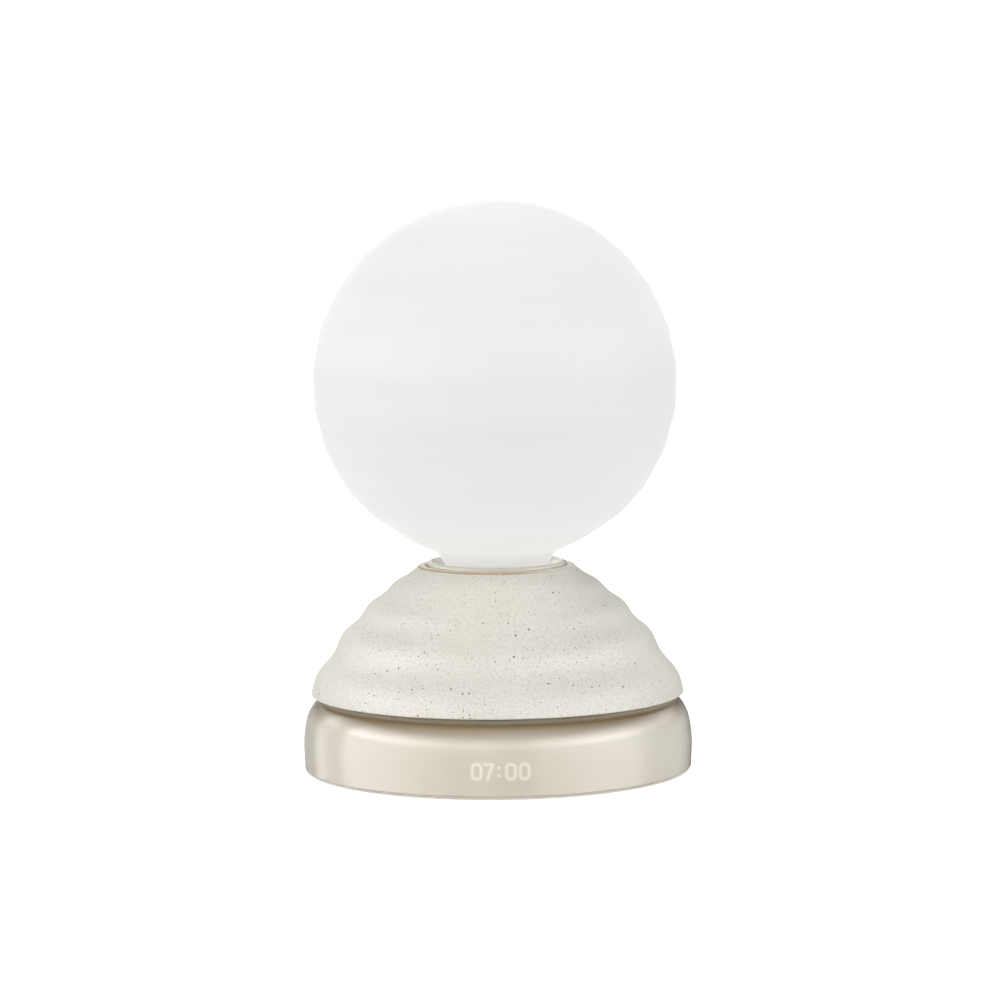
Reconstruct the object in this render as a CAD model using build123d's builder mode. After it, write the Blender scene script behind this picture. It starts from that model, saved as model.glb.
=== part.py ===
from build123d import *
import os
from math import acos, atan2, cos, degrees, pi, radians, sin, sqrt

# Sunrise alarm clock. Millimetres, +Z up, front towards -Y.
# The origin is on the table, under the centre of the base.

# Outside of the base
base_radius = 75.0            # widest point of the side wall
base_wall = 2.4
shell_bottom = 1.5            # where the shell's lower edge lies
shell_edge_inset = 0.3        # the lower edge is this much narrower than the widest point
shoulder_width = 10.5         # from the widest point in to the flat top
top_wall = 2.5

# Bottom cover and foot
foot_proud = 0.5              # the silicone foot stands this far below the cover
plate_thickness = 2.5
plate_edge_height = 0.9       # visible edge of the cover
foot_inner_radius = 51.0
foot_width = 8.0
foot_groove_depth = 1.1
case_screw_inset = 9.0        # from the widest point in to the four case screws
case_boss_radius = 3.4

# Weight and circuit board
ballast_thickness = 2.0
ballast_inner_radius = 22.0
ballast_outer_radius = 58.0
post_spacing_x = 88.0
post_spacing_y = 40.0
post_radius = 3.0
post_height = 3.6
board_thickness = 1.6
board_edge_gap = 4.8          # from the shell's inside wall to the board

# Loudspeaker
speaker_y = 38.0
speaker_radius = 20.0
speaker_room = 3.2            # from the board up to the speaker's yoke
speaker_depth = 13.3          # from the yoke's back up to the flange's face
speaker_gasket_thickness = 1.5
cone_travel = 0.8             # each way
speaker_yoke_thickness = 1.3
speaker_magnet_thickness = 3.0
speaker_plate_thickness = 1.2
pole_radius = 5.1
coil_reach = 3.1              # the coil stands this far above the front plate
cone_radius = 13.4
lug_thickness = 1.0
lug_boss_radius = 2.2
grille_hole_radius = 1.1
grille_pitch = 4.4

# Rear controls
button_radius = 3.2
button_proud = 0.8
button_travel = 0.6
button_gap = 0.25             # round the cap, in its hole
button_angles = {"light": -34.0, "alarm": -22.0, "minus": 22.0, "plus": 34.0}
socket_width = 8.94
socket_height = 3.2
socket_length = 7.4
socket_inset = 1.7            # from the wall's outside to the socket's mouth
socket_wall = 0.3
recess_depth = 1.2            # the shallow recess round the socket
recess_margin = 3.6           # how much wider and taller the recess is than the socket
button_flange = 1.0
stem_length = 2.9
plunger_radius = 0.9
plunger_length = 1.8
plunger_proud = 1.0           # out of the switch, at rest
switch_depth = 4.2

# Display
display_offset = 0.6          # the digits' centre lies this far right of the middle
display_height = 10.4         # centre of the digits above the table
dot_pitch = 1.05
dot_size = 0.6
dot_columns = 21
dot_rows = 7
mask_depth = 3.5
display_wall = 2.1            # thickness left in front of the digits, at the middle
display_film = 0.3
display_board_thickness = 1.2
pocket_depth = 2.0            # cut in the inside of the wall for the mask

# Ceramic dome
dome_setback = 2.96           # the dome's lower edge is this much narrower than the base
dome_height = 49.5
dome_wall = 5.5
dome_bulge = 4.95             # how far the meridian bows out from its chord
dome_foot_width = 11.0
dome_rim_width = 3.1          # from the collar's clearance out to the edge of the top rim
pad_thickness = 0.9
pad_width = 3.0
ripple_depth_rim = 0.2        # half the height of a ripple at the rim
ripple_depth_foot = 0.9       # and at the foot
ripple_phase = 0.12           # turns of the ripple at the rim
ripple_turns = 4.16           # from the rim to the foot
ripple_stretch = 1.67         # how much the ripples spread towards the foot
rim_rounding = 0.95
foot_rounding = 0.5
dome_ledge = 5.0              # thickness under the collar's seat

# Collar in the dome's top
collar_flange_width = 4.8     # from the tube out to the collar's edge
collar_proud = 1.6            # above the ceramic's rim
collar_tube_wall = 3.5        # from the neck's hole to the outside of the tube
collar_recess = 4.2           # depth of the seat in the ceramic
collar_web = 2.5
collar_gasket_thickness = 0.5
collar_clearance = 0.3
collar_ledge_inset = 2.4      # from the screws' circle in to the web's hole
collar_lip = 1.3              # radius of the rounded lip
dish_depth = 3.6              # from the lip down to the neck's hole
collar_screw_sink = 1.4
collar_screw_inset = 2.2      # from the neck's hole in to the screws' circle

# Glass globe
globe_radius = 69.7
glass_wall = 2.5
globe_rise = 70.15            # from the ceramic's rim up to the ball's centre
globe_ripple = 0.3            # half the height of a ripple at the equator
globe_ripple_count = 27.3     # ripples round a whole meridian
globe_flat = 1.0              # the ball's underside is drawn in by this much
neck_radius = 18.1
neck_flare = 8.9              # from the neck's radius to where the ball runs into it
neck_depth = 11.6             # from the ceramic's rim down to the end of the neck
neck_clearance = 0.6
seat_thickness = 2.0

# Column and light
column_tube_radius = 11.0
column_bore = 7.5
column_flange_radius = 20.0
column_flange = 4.0
column_head = 5.5
column_head_gap = 0.4         # the head is this much narrower than the collar's tube
column_flare = 10.0
spigot_clearance = 0.2
sink_flange_gap = 0.3         # round the heat sink's flange, in the web's hole
sink_flange = 2.0
sink_body_inset = 2.4         # from the flange's screws in to the heat sink's body
sink_height = 22.5
sink_bore = 3.2
fin_count = 12
fin_gap = 1.6
fin_depth = 2.5
sink_screw_inset = 1.9        # from the flange's edge in to its screws
light_screw_inset = 3.6       # from the circle of LEDs in to the board's screws
light_board_inset = 1.3       # from the diffuser's outside in to the board
light_board_thickness = 1.6
led_count = 10
led_inset = 2.7               # from the board's edge in to the circle of LEDs
diffuser_clearance = 1.8      # round the diffuser, inside the neck
diffuser_wall = 2.0
diffuser_skirt = 12.0         # straight part, from its lower edge to the dome
diffuser_overlap = 5.6        # how far it reaches down round the light board
header_height = 5.5
plug_height = 4.0
lead_radius = 1.5
lift_clear = 4.0              # the lifted globe's room above the diffuser

# Coin cell on the board
cell_radius = 10.0
cell_height = 3.2
cell_floor = 0.8
cell_place = (-32.0, -34.0)

# Fasteners: shank radius, head radius, head height, length under the head
case_screw = (1.5, 2.8, 1.3, 12.0)
board_screw = (1.2, 2.3, 1.5, 4.4)
speaker_screw = (0.8, 1.6, 1.0, 3.6)
column_screw = (1.3, 2.5, 1.5, 5.0)
collar_screw = (1.1, 1.75, 1.2, 5.6)
sink_screw = (0.9, 1.6, 1.2, 5.4)
light_screw = (0.9, 1.6, 1.0, 5.0)
screw_gap = 0.05              # round a shank in its pilot hole
through_gap = 0.3             # round a shank in a clearance hole
contact_gap = 0.1             # between curved pieces of one body

# Levels worked out from the stack, from the table up
plate_top = foot_proud + plate_thickness
board_bottom = plate_top + post_height
board_top = board_bottom + board_thickness
speaker_back = board_top + speaker_room
yoke_face = speaker_back + speaker_yoke_thickness
plate_face = yoke_face + speaker_magnet_thickness + speaker_plate_thickness
coil_top = plate_face + coil_reach
flange_face = speaker_back + speaker_depth
cone_rim = flange_face - lug_thickness
shell_ceiling = flange_face + speaker_gasket_thickness
base_height = shell_ceiling + top_wall
dome_bottom = base_height + pad_thickness
rim_top = dome_bottom + dome_height
collar_top = rim_top + collar_proud
collar_seat = rim_top - collar_recess
collar_face = collar_seat + collar_gasket_thickness
neck_bottom = rim_top - neck_depth
web_top = neck_bottom - seat_thickness
web_bottom = web_top - collar_web
head_bottom = web_bottom - column_head
sink_top = web_bottom + sink_height
light_board_top = sink_top + light_board_thickness
skirt_bottom = light_board_top - diffuser_overlap
skirt_top = skirt_bottom + diffuser_skirt
globe_centre = rim_top + globe_rise
edge_top = foot_proud + plate_edge_height

# Radii, places and planes worked out from the sizes above
inner_radius = base_radius - base_wall - 0.3
top_radius = base_radius - shoulder_width
edge_radius = base_radius - shell_edge_inset
plug_radius = inner_radius - contact_gap
board_radius = inner_radius - board_edge_gap
case_screw_circle = base_radius - case_screw_inset
dome_radius = base_radius - dome_setback
pad_outer = top_radius - 1.0
pad_inner = pad_outer - pad_width
dome_foot_inner = dome_radius - dome_foot_width
neck_top_radius = neck_radius + neck_flare
collar_bore = neck_radius + neck_clearance
collar_tube_radius = collar_bore + collar_tube_wall
collar_radius = collar_tube_radius + collar_flange_width
collar_screw_circle = collar_bore - collar_screw_inset
collar_ledge_radius = collar_screw_circle - collar_ledge_inset
dome_rim_radius = collar_radius + collar_clearance + dome_rim_width
dome_hole_radius = collar_tube_radius + collar_clearance + 0.1
column_head_radius = collar_tube_radius - column_head_gap
sink_flange_radius = collar_ledge_radius - sink_flange_gap
sink_screw_circle = sink_flange_radius - sink_screw_inset
sink_radius = sink_screw_circle - sink_body_inset
diffuser_radius = neck_radius - glass_wall - diffuser_clearance
light_board_radius = diffuser_radius - light_board_inset
led_ring_radius = light_board_radius - led_inset
light_screw_circle = led_ring_radius - light_screw_inset
globe_lift = skirt_top + diffuser_radius - neck_bottom + lift_clear
spigot_radius = column_bore + 1.2
column_screw_circle = (spigot_radius + column_flange_radius) / 2
speaker_lug_circle = speaker_radius + 2.4
display_face = base_radius - display_wall
mask_back = display_face - display_film - mask_depth
mask_width = dot_columns * dot_pitch + 2.6
mask_height = dot_rows * dot_pitch + 0.9
control_height = board_top + socket_height / 2
button_flange_face = inner_radius - 0.4
plunger_end = button_flange_face - button_flange - stem_length
switch_face = plunger_end - plunger_proud
socket_mouth = base_radius - socket_inset
socket_back = socket_mouth - socket_length
speaker_centre = (0, speaker_y, 0)
display_plane = Plane(origin=(display_offset, 0, display_height), x_dir=(1, 0, 0), z_dir=(0, -1, 0))

os.makedirs("parts", exist_ok=True)


def save(piece, label):
    piece.part.label = label
    export_step(piece.part, f"parts/{label}.step")


def radial_plane(angle, distance, height):
    """A plane that faces outwards at the rear; angle 0 is straight back, positive towards +X."""
    out = (sin(radians(angle)), cos(radians(angle)), 0)
    across = (cos(radians(angle)), -sin(radians(angle)), 0)
    return Plane(origin=(distance * out[0], distance * out[1], height), x_dir=across, z_dir=out)


def disc(outer, bottom, top, inner=0.0, centre=(0, 0)):
    """A round plate or ring between two levels."""
    with BuildPart() as plate:
        with BuildSketch(Plane.XY.offset(bottom)):
            with Locations(centre):
                Circle(outer)
                if inner > 0:
                    Circle(inner, mode=Mode.SUBTRACT)
        extrude(amount=top - bottom)
    return plate


def turned(points):
    """A body turned about the Z axis from a closed outline of (radius, height) points."""
    with BuildPart() as body:
        with BuildSketch(Plane.XZ):
            with BuildLine():
                Polyline(*points, close=True)
            make_face()
        revolve(axis=Axis.Z)
    return body.part


def screw(size, flat=False):
    """A cross-recessed screw with its head's seat at the origin and its shank down -Z."""
    shank, head, head_height, length = size
    with BuildPart() as body:
        with BuildSketch(Plane.XZ):
            with BuildLine():
                if flat:
                    Polyline((0, 0), (head, 0), (shank, -head_height), (shank, 0.6 - length),
                             (shank * 0.4, -length), (0, -length), close=True)
                else:
                    Polyline((0, head_height), (head * 0.6, head_height), (head, head_height * 0.5),
                             (head, 0), (shank, 0), (shank, 0.6 - length), (shank * 0.4, -length),
                             (0, -length), close=True)
            make_face()
        revolve(axis=Axis.Z)
        top = 0.0 if flat else head_height
        recess = head_height * 0.5
        with Locations((0, 0, top)):
            Box(head, head * 0.24, recess * 2, mode=Mode.SUBTRACT)
            Box(head * 0.24, head, recess * 2, mode=Mode.SUBTRACT)
    return body.part


# Base shell

def shell_outline():
    """Side wall and shoulder, from the lower edge up to the edge of the flat top."""
    return [
        (base_radius - shell_edge_inset, shell_bottom),
        (base_radius, base_height - 16.5),
        (base_radius - 0.65, base_height - 11.0),
        (base_radius - 1.7, base_height - 6.9),
        (base_radius - 3.9, base_height - 3.1),
        (top_radius, base_height),
    ]


def case_screw_places():
    return PolarLocations(case_screw_circle, 4, start_angle=45)


def post_places():
    return GridLocations(post_spacing_x, post_spacing_y, 2, 2)


def lug_places():
    return PolarLocations(speaker_lug_circle, 4, start_angle=45)


def column_screw_places():
    return PolarLocations(column_screw_circle, 4, start_angle=45)


def collar_screw_places():
    return PolarLocations(collar_screw_circle, 3, start_angle=90)


def sink_screw_places():
    return PolarLocations(sink_screw_circle, 3, start_angle=30)


def light_screw_places():
    return PolarLocations(light_screw_circle, 2, start_angle=0)


with BuildPart() as shell_room:
    # the hollow of the shell, with the screw bosses left standing
    add(turned([
        (0, 0),
        (inner_radius, 0),
        (inner_radius, base_height - 12.5),
        (inner_radius - 1.4, base_height - 8.3),
        (inner_radius - 4.0, base_height - 4.6),
        (top_radius - 1.5, shell_ceiling),
        (0, shell_ceiling),
    ]))
    with BuildSketch(Plane.XY.offset(plate_top + contact_gap)):
        with case_screw_places():
            Circle(case_boss_radius)
    extrude(amount=base_height, mode=Mode.SUBTRACT)
    with BuildSketch(Plane.XY.offset(flange_face)):
        with Locations((0, speaker_y)):
            with lug_places():
                Circle(lug_boss_radius)
    extrude(amount=base_height, mode=Mode.SUBTRACT)

with BuildPart() as base_shell:
    with BuildSketch(Plane.XZ):
        with BuildLine():
            side = Spline(shell_outline(), tangents=[(0.04, 1), (-1, 0)])
            Polyline(side @ 1, (0, base_height), (0, shell_bottom), side @ 0)
        make_face()
    revolve(axis=Axis.Z)
    add(shell_room.part, mode=Mode.SUBTRACT)
    # pilot holes for the case screws and the speaker screws
    with BuildSketch(Plane.XY):
        with case_screw_places():
            Circle(case_screw[0] + screw_gap)
    extrude(amount=foot_proud + case_screw[3] + 0.5, mode=Mode.SUBTRACT)
    with BuildSketch(Plane.XY.offset(flange_face)):
        with Locations((0, speaker_y)):
            with lug_places():
                Circle(speaker_screw[0] + screw_gap)
    extrude(amount=speaker_screw[3] - lug_thickness + 0.4, mode=Mode.SUBTRACT)
    # opening for the column's spigot, its screw holes, and the speaker outlet under the dome
    with BuildSketch(Plane.XY.offset(shell_ceiling)):
        Circle(spigot_radius + spigot_clearance)
        with column_screw_places():
            Circle(column_screw[0] + through_gap)
        with Locations((0, speaker_y)):
            Circle(grille_hole_radius)
            for turn in range(1, 4):
                with PolarLocations(turn * grille_pitch, 6 * turn):
                    Circle(grille_hole_radius)
    extrude(amount=top_wall, mode=Mode.SUBTRACT)
    # holes for the rear buttons
    for angle in button_angles.values():
        with BuildSketch(radial_plane(angle, inner_radius - 2, control_height)):
            Circle(button_radius + button_gap)
        extrude(amount=base_wall + 4, mode=Mode.SUBTRACT)
    # slot for the power socket, in a shallow recess for the plug's body
    with BuildSketch(radial_plane(0, inner_radius - 2, control_height)):
        SlotOverall(socket_width + 2 * button_gap, socket_height + 2 * button_gap)
    extrude(amount=base_wall + 4, mode=Mode.SUBTRACT)
    with BuildSketch(radial_plane(0, base_radius - recess_depth, control_height)):
        SlotOverall(socket_width + recess_margin, socket_height + recess_margin)
    extrude(amount=recess_depth + 1, mode=Mode.SUBTRACT)
    # flat pocket behind the digits
    with BuildSketch(display_plane.offset(display_face - pocket_depth)):
        Rectangle(mask_width + 0.3, mask_height + 0.3)
    extrude(amount=pocket_depth, mode=Mode.SUBTRACT)
save(base_shell, "base_shell")

# Bottom cover, foot and weight

with BuildPart() as base_plate:
    add(turned([
        (0, foot_proud),
        (edge_radius - 1.1, foot_proud),
        (edge_radius - 0.3, foot_proud + 0.4),
        (edge_radius, edge_top),
        (plug_radius, edge_top),
        (plug_radius, plate_top),
        (0, plate_top),
    ]))
    with BuildSketch(Plane.XY.offset(foot_proud)):
        Circle(foot_inner_radius + foot_width + contact_gap)
        Circle(foot_inner_radius - contact_gap, mode=Mode.SUBTRACT)
    extrude(amount=foot_groove_depth, mode=Mode.SUBTRACT)
    with BuildSketch(Plane.XY.offset(plate_top)):
        with post_places():
            Circle(post_radius)
    extrude(amount=post_height)
    with BuildSketch(Plane.XY.offset(board_bottom)):
        with post_places():
            Circle(board_screw[0] + screw_gap)
    extrude(amount=-board_screw[3], mode=Mode.SUBTRACT)
    with Locations(Plane(origin=(0, 0, foot_proud), z_dir=(0, 0, -1))):
        with case_screw_places():
            CounterSinkHole(case_screw[0] + through_gap, case_screw[1] + contact_gap,
                            depth=plate_thickness + 1, counter_sink_angle=90)
save(base_plate, "base_plate")

with BuildPart() as foot_ring:
    with BuildSketch(Plane.XY):
        Circle(foot_inner_radius + foot_width)
        Circle(foot_inner_radius, mode=Mode.SUBTRACT)
    extrude(amount=foot_proud + foot_groove_depth)
    chamfer(foot_ring.faces().sort_by(Axis.Z)[0].edges(), 0.25)
save(foot_ring, "foot_ring")

with BuildPart() as ballast_plate:
    with BuildSketch(Plane.XY.offset(plate_top)):
        Circle(ballast_outer_radius)
        Circle(ballast_inner_radius, mode=Mode.SUBTRACT)
        with post_places():
            Circle(post_radius + 0.5, mode=Mode.SUBTRACT)
    extrude(amount=ballast_thickness)
save(ballast_plate, "ballast_plate")

with BuildPart() as base_plate_screws:
    with Locations(Plane(origin=(0, 0, foot_proud + 0.05), z_dir=(0, 0, -1))):
        with case_screw_places():
            add(screw(case_screw, flat=True))
save(base_plate_screws, "base_plate_screws")

# Circuit board and what is soldered to it

with BuildPart() as main_board:
    with BuildSketch(Plane.XY.offset(board_bottom)):
        Circle(board_radius)
        with Locations((0, board_radius - 4)):
            Rectangle(socket_width + 4, 15)
        with case_screw_places():
            Circle(case_boss_radius + 1.0, mode=Mode.SUBTRACT)
        with post_places():
            Circle(board_screw[0] + through_gap, mode=Mode.SUBTRACT)
    extrude(amount=board_thickness)
save(main_board, "main_board")

with BuildPart() as board_screws:
    with Locations(Plane.XY.offset(board_top)):
        with post_places():
            add(screw(board_screw))
save(board_screws, "board_screws")

# place x, y, then width, depth and height of each chip
chips = {
    "processor": (15, -30, 10, 10, 1.4),
    "memory": (30, -33, 5, 6, 1.2),
    "amplifier": (30, 10, 6, 6, 1.2),
    "clock": (-10, -48, 4, 4, 1.0),
    "lamp driver": (-28, -6, 5, 5, 1.2),
    "supply": (14, 57, 5, 4, 1.1),
    "coil": (40, -4, 7, 7, 3.5),
}
with BuildPart() as board_chips:
    for x, y, width, depth, height in chips.values():
        with Locations((x, y, board_top)):
            Box(width, depth, height, align=(Align.CENTER, Align.CENTER, Align.MIN))
save(board_chips, "board_chips")

with BuildPart() as board_capacitors:
    with BuildSketch(Plane.XY.offset(board_top)):
        with Locations((-40, 4), (-32, 14), (30, 22)):
            Circle(3.15)
    extrude(amount=8)
    fillet(board_capacitors.faces().group_by(Axis.Z)[-1].edges(), 0.5)
save(board_capacitors, "board_capacitors")

with BuildPart() as cell_holder:
    with BuildSketch(Plane.XY.offset(board_top)):
        with Locations(cell_place):
            Circle(cell_radius + 2.0)
    extrude(amount=cell_floor + 2.4)
    with BuildSketch(Plane.XY.offset(board_top + cell_floor)):
        with Locations(cell_place):
            Circle(cell_radius + 0.2)
            Rectangle(2 * cell_radius + 6, cell_radius)
    extrude(amount=4, mode=Mode.SUBTRACT)
save(cell_holder, "cell_holder")

coin_cell = disc(cell_radius, board_top + cell_floor, board_top + cell_floor + cell_height,
                 centre=cell_place)
save(coin_cell, "coin_cell")

# Display behind the front wall

with BuildPart() as display_diffuser:
    with BuildSketch(display_plane.offset(display_face - display_film)):
        Rectangle(mask_width, mask_height)
    extrude(amount=display_film)
save(display_diffuser, "display_diffuser")

with BuildPart() as display_mask:
    with BuildSketch(display_plane.offset(mask_back)):
        Rectangle(mask_width, mask_height)
        with GridLocations(dot_pitch, dot_pitch, dot_columns, dot_rows):
            Rectangle(dot_size + 0.2, dot_size + 0.2, mode=Mode.SUBTRACT)
    extrude(amount=mask_depth)
save(display_mask, "display_mask")

with BuildPart() as display_leds:
    with BuildSketch(display_plane.offset(mask_back)):
        with GridLocations(dot_pitch, dot_pitch, dot_columns, dot_rows):
            Rectangle(dot_size, dot_size)
    extrude(amount=0.5)
save(display_leds, "display_leds")

with BuildPart() as display_board:
    with BuildSketch(display_plane.offset(mask_back - display_board_thickness)):
        Rectangle(mask_width + 4, mask_height + 1.4)
    extrude(amount=display_board_thickness)
save(display_board, "display_board")

with BuildPart() as display_header:
    with BuildSketch(Plane.XY.offset(board_top)):
        with Locations((display_offset, display_board_thickness - mask_back + 1.25)):
            Rectangle(18, 2.5)
    extrude(amount=2.5)
save(display_header, "display_header")

# Rear buttons: each cap slides straight in and presses the plunger of its switch

for name, angle in button_angles.items():
    with BuildPart() as cap:
        with BuildSketch(radial_plane(angle, button_flange_face, control_height)):
            Circle(button_radius)
        extrude(amount=base_radius + button_proud - button_flange_face)
        outward = Axis((0, 0, 0), tuple(radial_plane(angle, 0, 0).z_dir))
        fillet(cap.edges().sort_by(outward)[-1], 0.7)
        with BuildSketch(radial_plane(angle, button_flange_face - button_flange, control_height)):
            Circle(button_radius + 1.0)
        extrude(amount=button_flange)
        with BuildSketch(radial_plane(angle, plunger_end, control_height)):
            Circle(1.2)
        extrude(amount=button_flange_face - button_flange - plunger_end)
    save(cap, f"{name}_button")

    with BuildPart() as plunger:
        with BuildSketch(radial_plane(angle, plunger_end - plunger_length, control_height)):
            Circle(plunger_radius)
        extrude(amount=plunger_length)
    save(plunger, f"{name}_plunger")

with BuildPart() as switch_housings:
    for angle in button_angles.values():
        with BuildSketch(radial_plane(angle, switch_face - switch_depth, board_top + 1.9)):
            Rectangle(6.0, 3.8)
        extrude(amount=switch_depth)
    for angle in button_angles.values():
        with BuildSketch(radial_plane(angle, switch_face, control_height)):
            Circle(plunger_radius + 0.08)
        extrude(amount=plunger_proud - plunger_length - button_travel - 0.4, mode=Mode.SUBTRACT)
save(switch_housings, "switch_housings")

with BuildPart() as power_socket:
    with BuildSketch(radial_plane(0, socket_mouth - socket_length, control_height)):
        SlotOverall(socket_width, socket_height)
    extrude(amount=socket_length)
    with BuildSketch(radial_plane(0, socket_back + socket_wall, control_height)):
        SlotOverall(socket_width - 2 * socket_wall, socket_height - 2 * socket_wall)
    extrude(amount=socket_length, mode=Mode.SUBTRACT)
save(power_socket, "power_socket")

with BuildPart() as socket_tongue:
    with BuildSketch(radial_plane(0, socket_back + socket_wall, control_height)):
        SlotOverall(socket_width - 2 * socket_wall - 0.1, socket_height - 2 * socket_wall - 0.1)
    extrude(amount=1.4)
    with BuildSketch(radial_plane(0, socket_back + socket_wall, control_height)):
        Rectangle(6.7, 0.7)
    extrude(amount=socket_length - socket_wall - 0.8)
save(socket_tongue, "socket_tongue")

# Loudspeaker, hung under the top wall and facing up

def at_speaker(body):
    """The same body moved from the Z axis to the speaker's axis."""
    with BuildPart() as placed:
        with Locations(speaker_centre):
            add(body)
    return placed


speaker_place = speaker_centre[:2]
speaker_gasket = disc(speaker_radius, flange_face, shell_ceiling, inner=speaker_radius - 2.1,
                      centre=speaker_place)
save(speaker_gasket, "speaker_gasket")

with BuildPart() as speaker_frame:
    with Locations(speaker_centre):
        add(turned([
            (6.4, plate_face),
            (11.5, plate_face),
            (12.3, plate_face + 0.5),
            (speaker_radius - 2.4, cone_rim),
            (speaker_radius, cone_rim),
            (speaker_radius, flange_face),
            (speaker_radius - 3.0, flange_face),
            (11.6, plate_face + 0.8),
            (6.4, plate_face + 0.8),
        ]))
    with Locations((0, speaker_y, plate_face + 4.0)):
        with PolarLocations(15, 6):
            Box(6, 5, 3.6, mode=Mode.SUBTRACT)
    with BuildSketch(Plane.XY.offset(cone_rim)):
        with Locations(speaker_place):
            with lug_places():
                Circle(3.0)
            Circle(speaker_radius - 1.0, mode=Mode.SUBTRACT)
    extrude(amount=lug_thickness)
    with BuildSketch(Plane.XY.offset(cone_rim)):
        with Locations(speaker_place):
            with lug_places():
                Circle(speaker_screw[0] + 0.2)
    extrude(amount=lug_thickness, mode=Mode.SUBTRACT)
save(speaker_frame, "speaker_frame")

speaker_plate = disc(11.0, plate_face - speaker_plate_thickness, plate_face, inner=6.2,
                     centre=speaker_place)
save(speaker_plate, "speaker_plate")

speaker_magnet = disc(11.5, yoke_face, plate_face - speaker_plate_thickness, inner=7.2,
                      centre=speaker_place)
save(speaker_magnet, "speaker_magnet")

speaker_yoke = at_speaker(turned([
    (0, speaker_back),
    (11.0, speaker_back),
    (11.0, yoke_face),
    (pole_radius, yoke_face),
    (pole_radius, plate_face),
    (0, plate_face),
]))
save(speaker_yoke, "speaker_yoke")

with BuildPart() as speaker_screws:
    with Locations(Plane(origin=(0, speaker_y, cone_rim), z_dir=(0, 0, -1))):
        with lug_places():
            add(screw(speaker_screw))
save(speaker_screws, "speaker_screws")

coil_radius = pole_radius + 0.75
voice_coil = disc(coil_radius, yoke_face + cone_travel + 0.3, coil_top, inner=coil_radius - 0.5,
                  centre=speaker_place)
save(voice_coil, "voice_coil")

speaker_cone = at_speaker(turned([
    (coil_radius + contact_gap, coil_top - 1.0),
    (cone_radius, cone_rim - 0.4),
    (cone_radius, cone_rim),
    (cone_radius - 0.8, cone_rim),
    (coil_radius + contact_gap, coil_top - 0.5),
]))
save(speaker_cone, "speaker_cone")


def cap_line(radius, rise):
    """The top of a shallow dome that stands on the coil, as (radius, height) points."""
    sphere = (radius ** 2 + rise ** 2) / (2 * rise)
    reach = [radius * step / 8 for step in range(9)]
    return [(r, coil_top + rise - sphere + sqrt(sphere ** 2 - r ** 2)) for r in reach]


dust_cap = at_speaker(turned(cap_line(coil_radius, 2.2) + cap_line(coil_radius - 0.4, 1.9)[::-1]))
save(dust_cap, "dust_cap")

# the two soft rings that let the cone move: one at its rim, one at the coil
lip_inner = speaker_radius - 3.0
speaker_surround = at_speaker(turned([
    (cone_radius - 0.8, cone_rim),
    (cone_radius, cone_rim),
    (cone_radius + 1.2, cone_rim + 0.1),
    (lip_inner - 0.9, flange_face - 0.2),
    (lip_inner - 0.2, flange_face),
    (lip_inner + 0.8, flange_face),
    (lip_inner + 0.8, flange_face + 0.3),
    (lip_inner - 0.4, flange_face + 0.3),
    (lip_inner - 1.2, flange_face + 0.1),
    (cone_radius + 1.0, cone_rim + 0.4),
    (cone_radius, cone_rim + 0.3),
    (cone_radius - 0.8, cone_rim + 0.3),
]))
save(speaker_surround, "speaker_surround")

spider_foot = plate_face + 0.8
speaker_spider = at_speaker(turned([
    (coil_radius + contact_gap, coil_top - 1.5),
    (9.9, spider_foot),
    (11.4, spider_foot),
    (11.4, spider_foot + 0.25),
    (9.95, spider_foot + 0.25),
    (coil_radius + contact_gap, coil_top - 1.2),
]))
save(speaker_spider, "speaker_spider")

# Ceramic dome and the pads that carry it

with BuildPart() as dome_pads:
    with BuildSketch(Plane.XY.offset(base_height)):
        Circle(pad_outer)
        Circle(pad_inner, mode=Mode.SUBTRACT)
        with PolarLocations(pad_outer, 6, start_angle=30):
            Rectangle(pad_width * 3, pad_outer * 0.5, mode=Mode.SUBTRACT)
    extrude(amount=pad_thickness)
save(dome_pads, "dome_pads")


def arc_centre(start, end, bulge):
    """Centre and radius of the arc that bows outwards by bulge between two meridian points."""
    run, drop = end[0] - start[0], start[1] - end[1]
    chord = sqrt(run ** 2 + drop ** 2)
    radius = (chord ** 2 / 4 + bulge ** 2) / (2 * bulge)
    inward = radius - bulge
    middle = ((start[0] + end[0]) / 2, (start[1] + end[1]) / 2)
    return (middle[0] - inward * drop / chord, middle[1] - inward * run / chord), radius


def dome_meridian(start, end, samples=37):
    """Outside of the dome, an arc with ripples that grow and spread from the rim to the foot."""
    centre, radius = arc_centre(start, end, dome_bulge)
    first = atan2(start[1] - centre[1], start[0] - centre[0])
    last = atan2(end[1] - centre[1], end[0] - centre[0])
    points = []
    for step in range(samples):
        t = step / (samples - 1)
        phase = ripple_phase + (ripple_turns + ripple_stretch) * t - ripple_stretch * t ** 2
        depth = ripple_depth_rim + (ripple_depth_foot - ripple_depth_rim) * t
        distance = radius + depth * cos(2 * pi * phase)
        angle = first + (last - first) * t
        points.append((centre[0] + distance * cos(angle), centre[1] + distance * sin(angle)))
    return points


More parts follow.
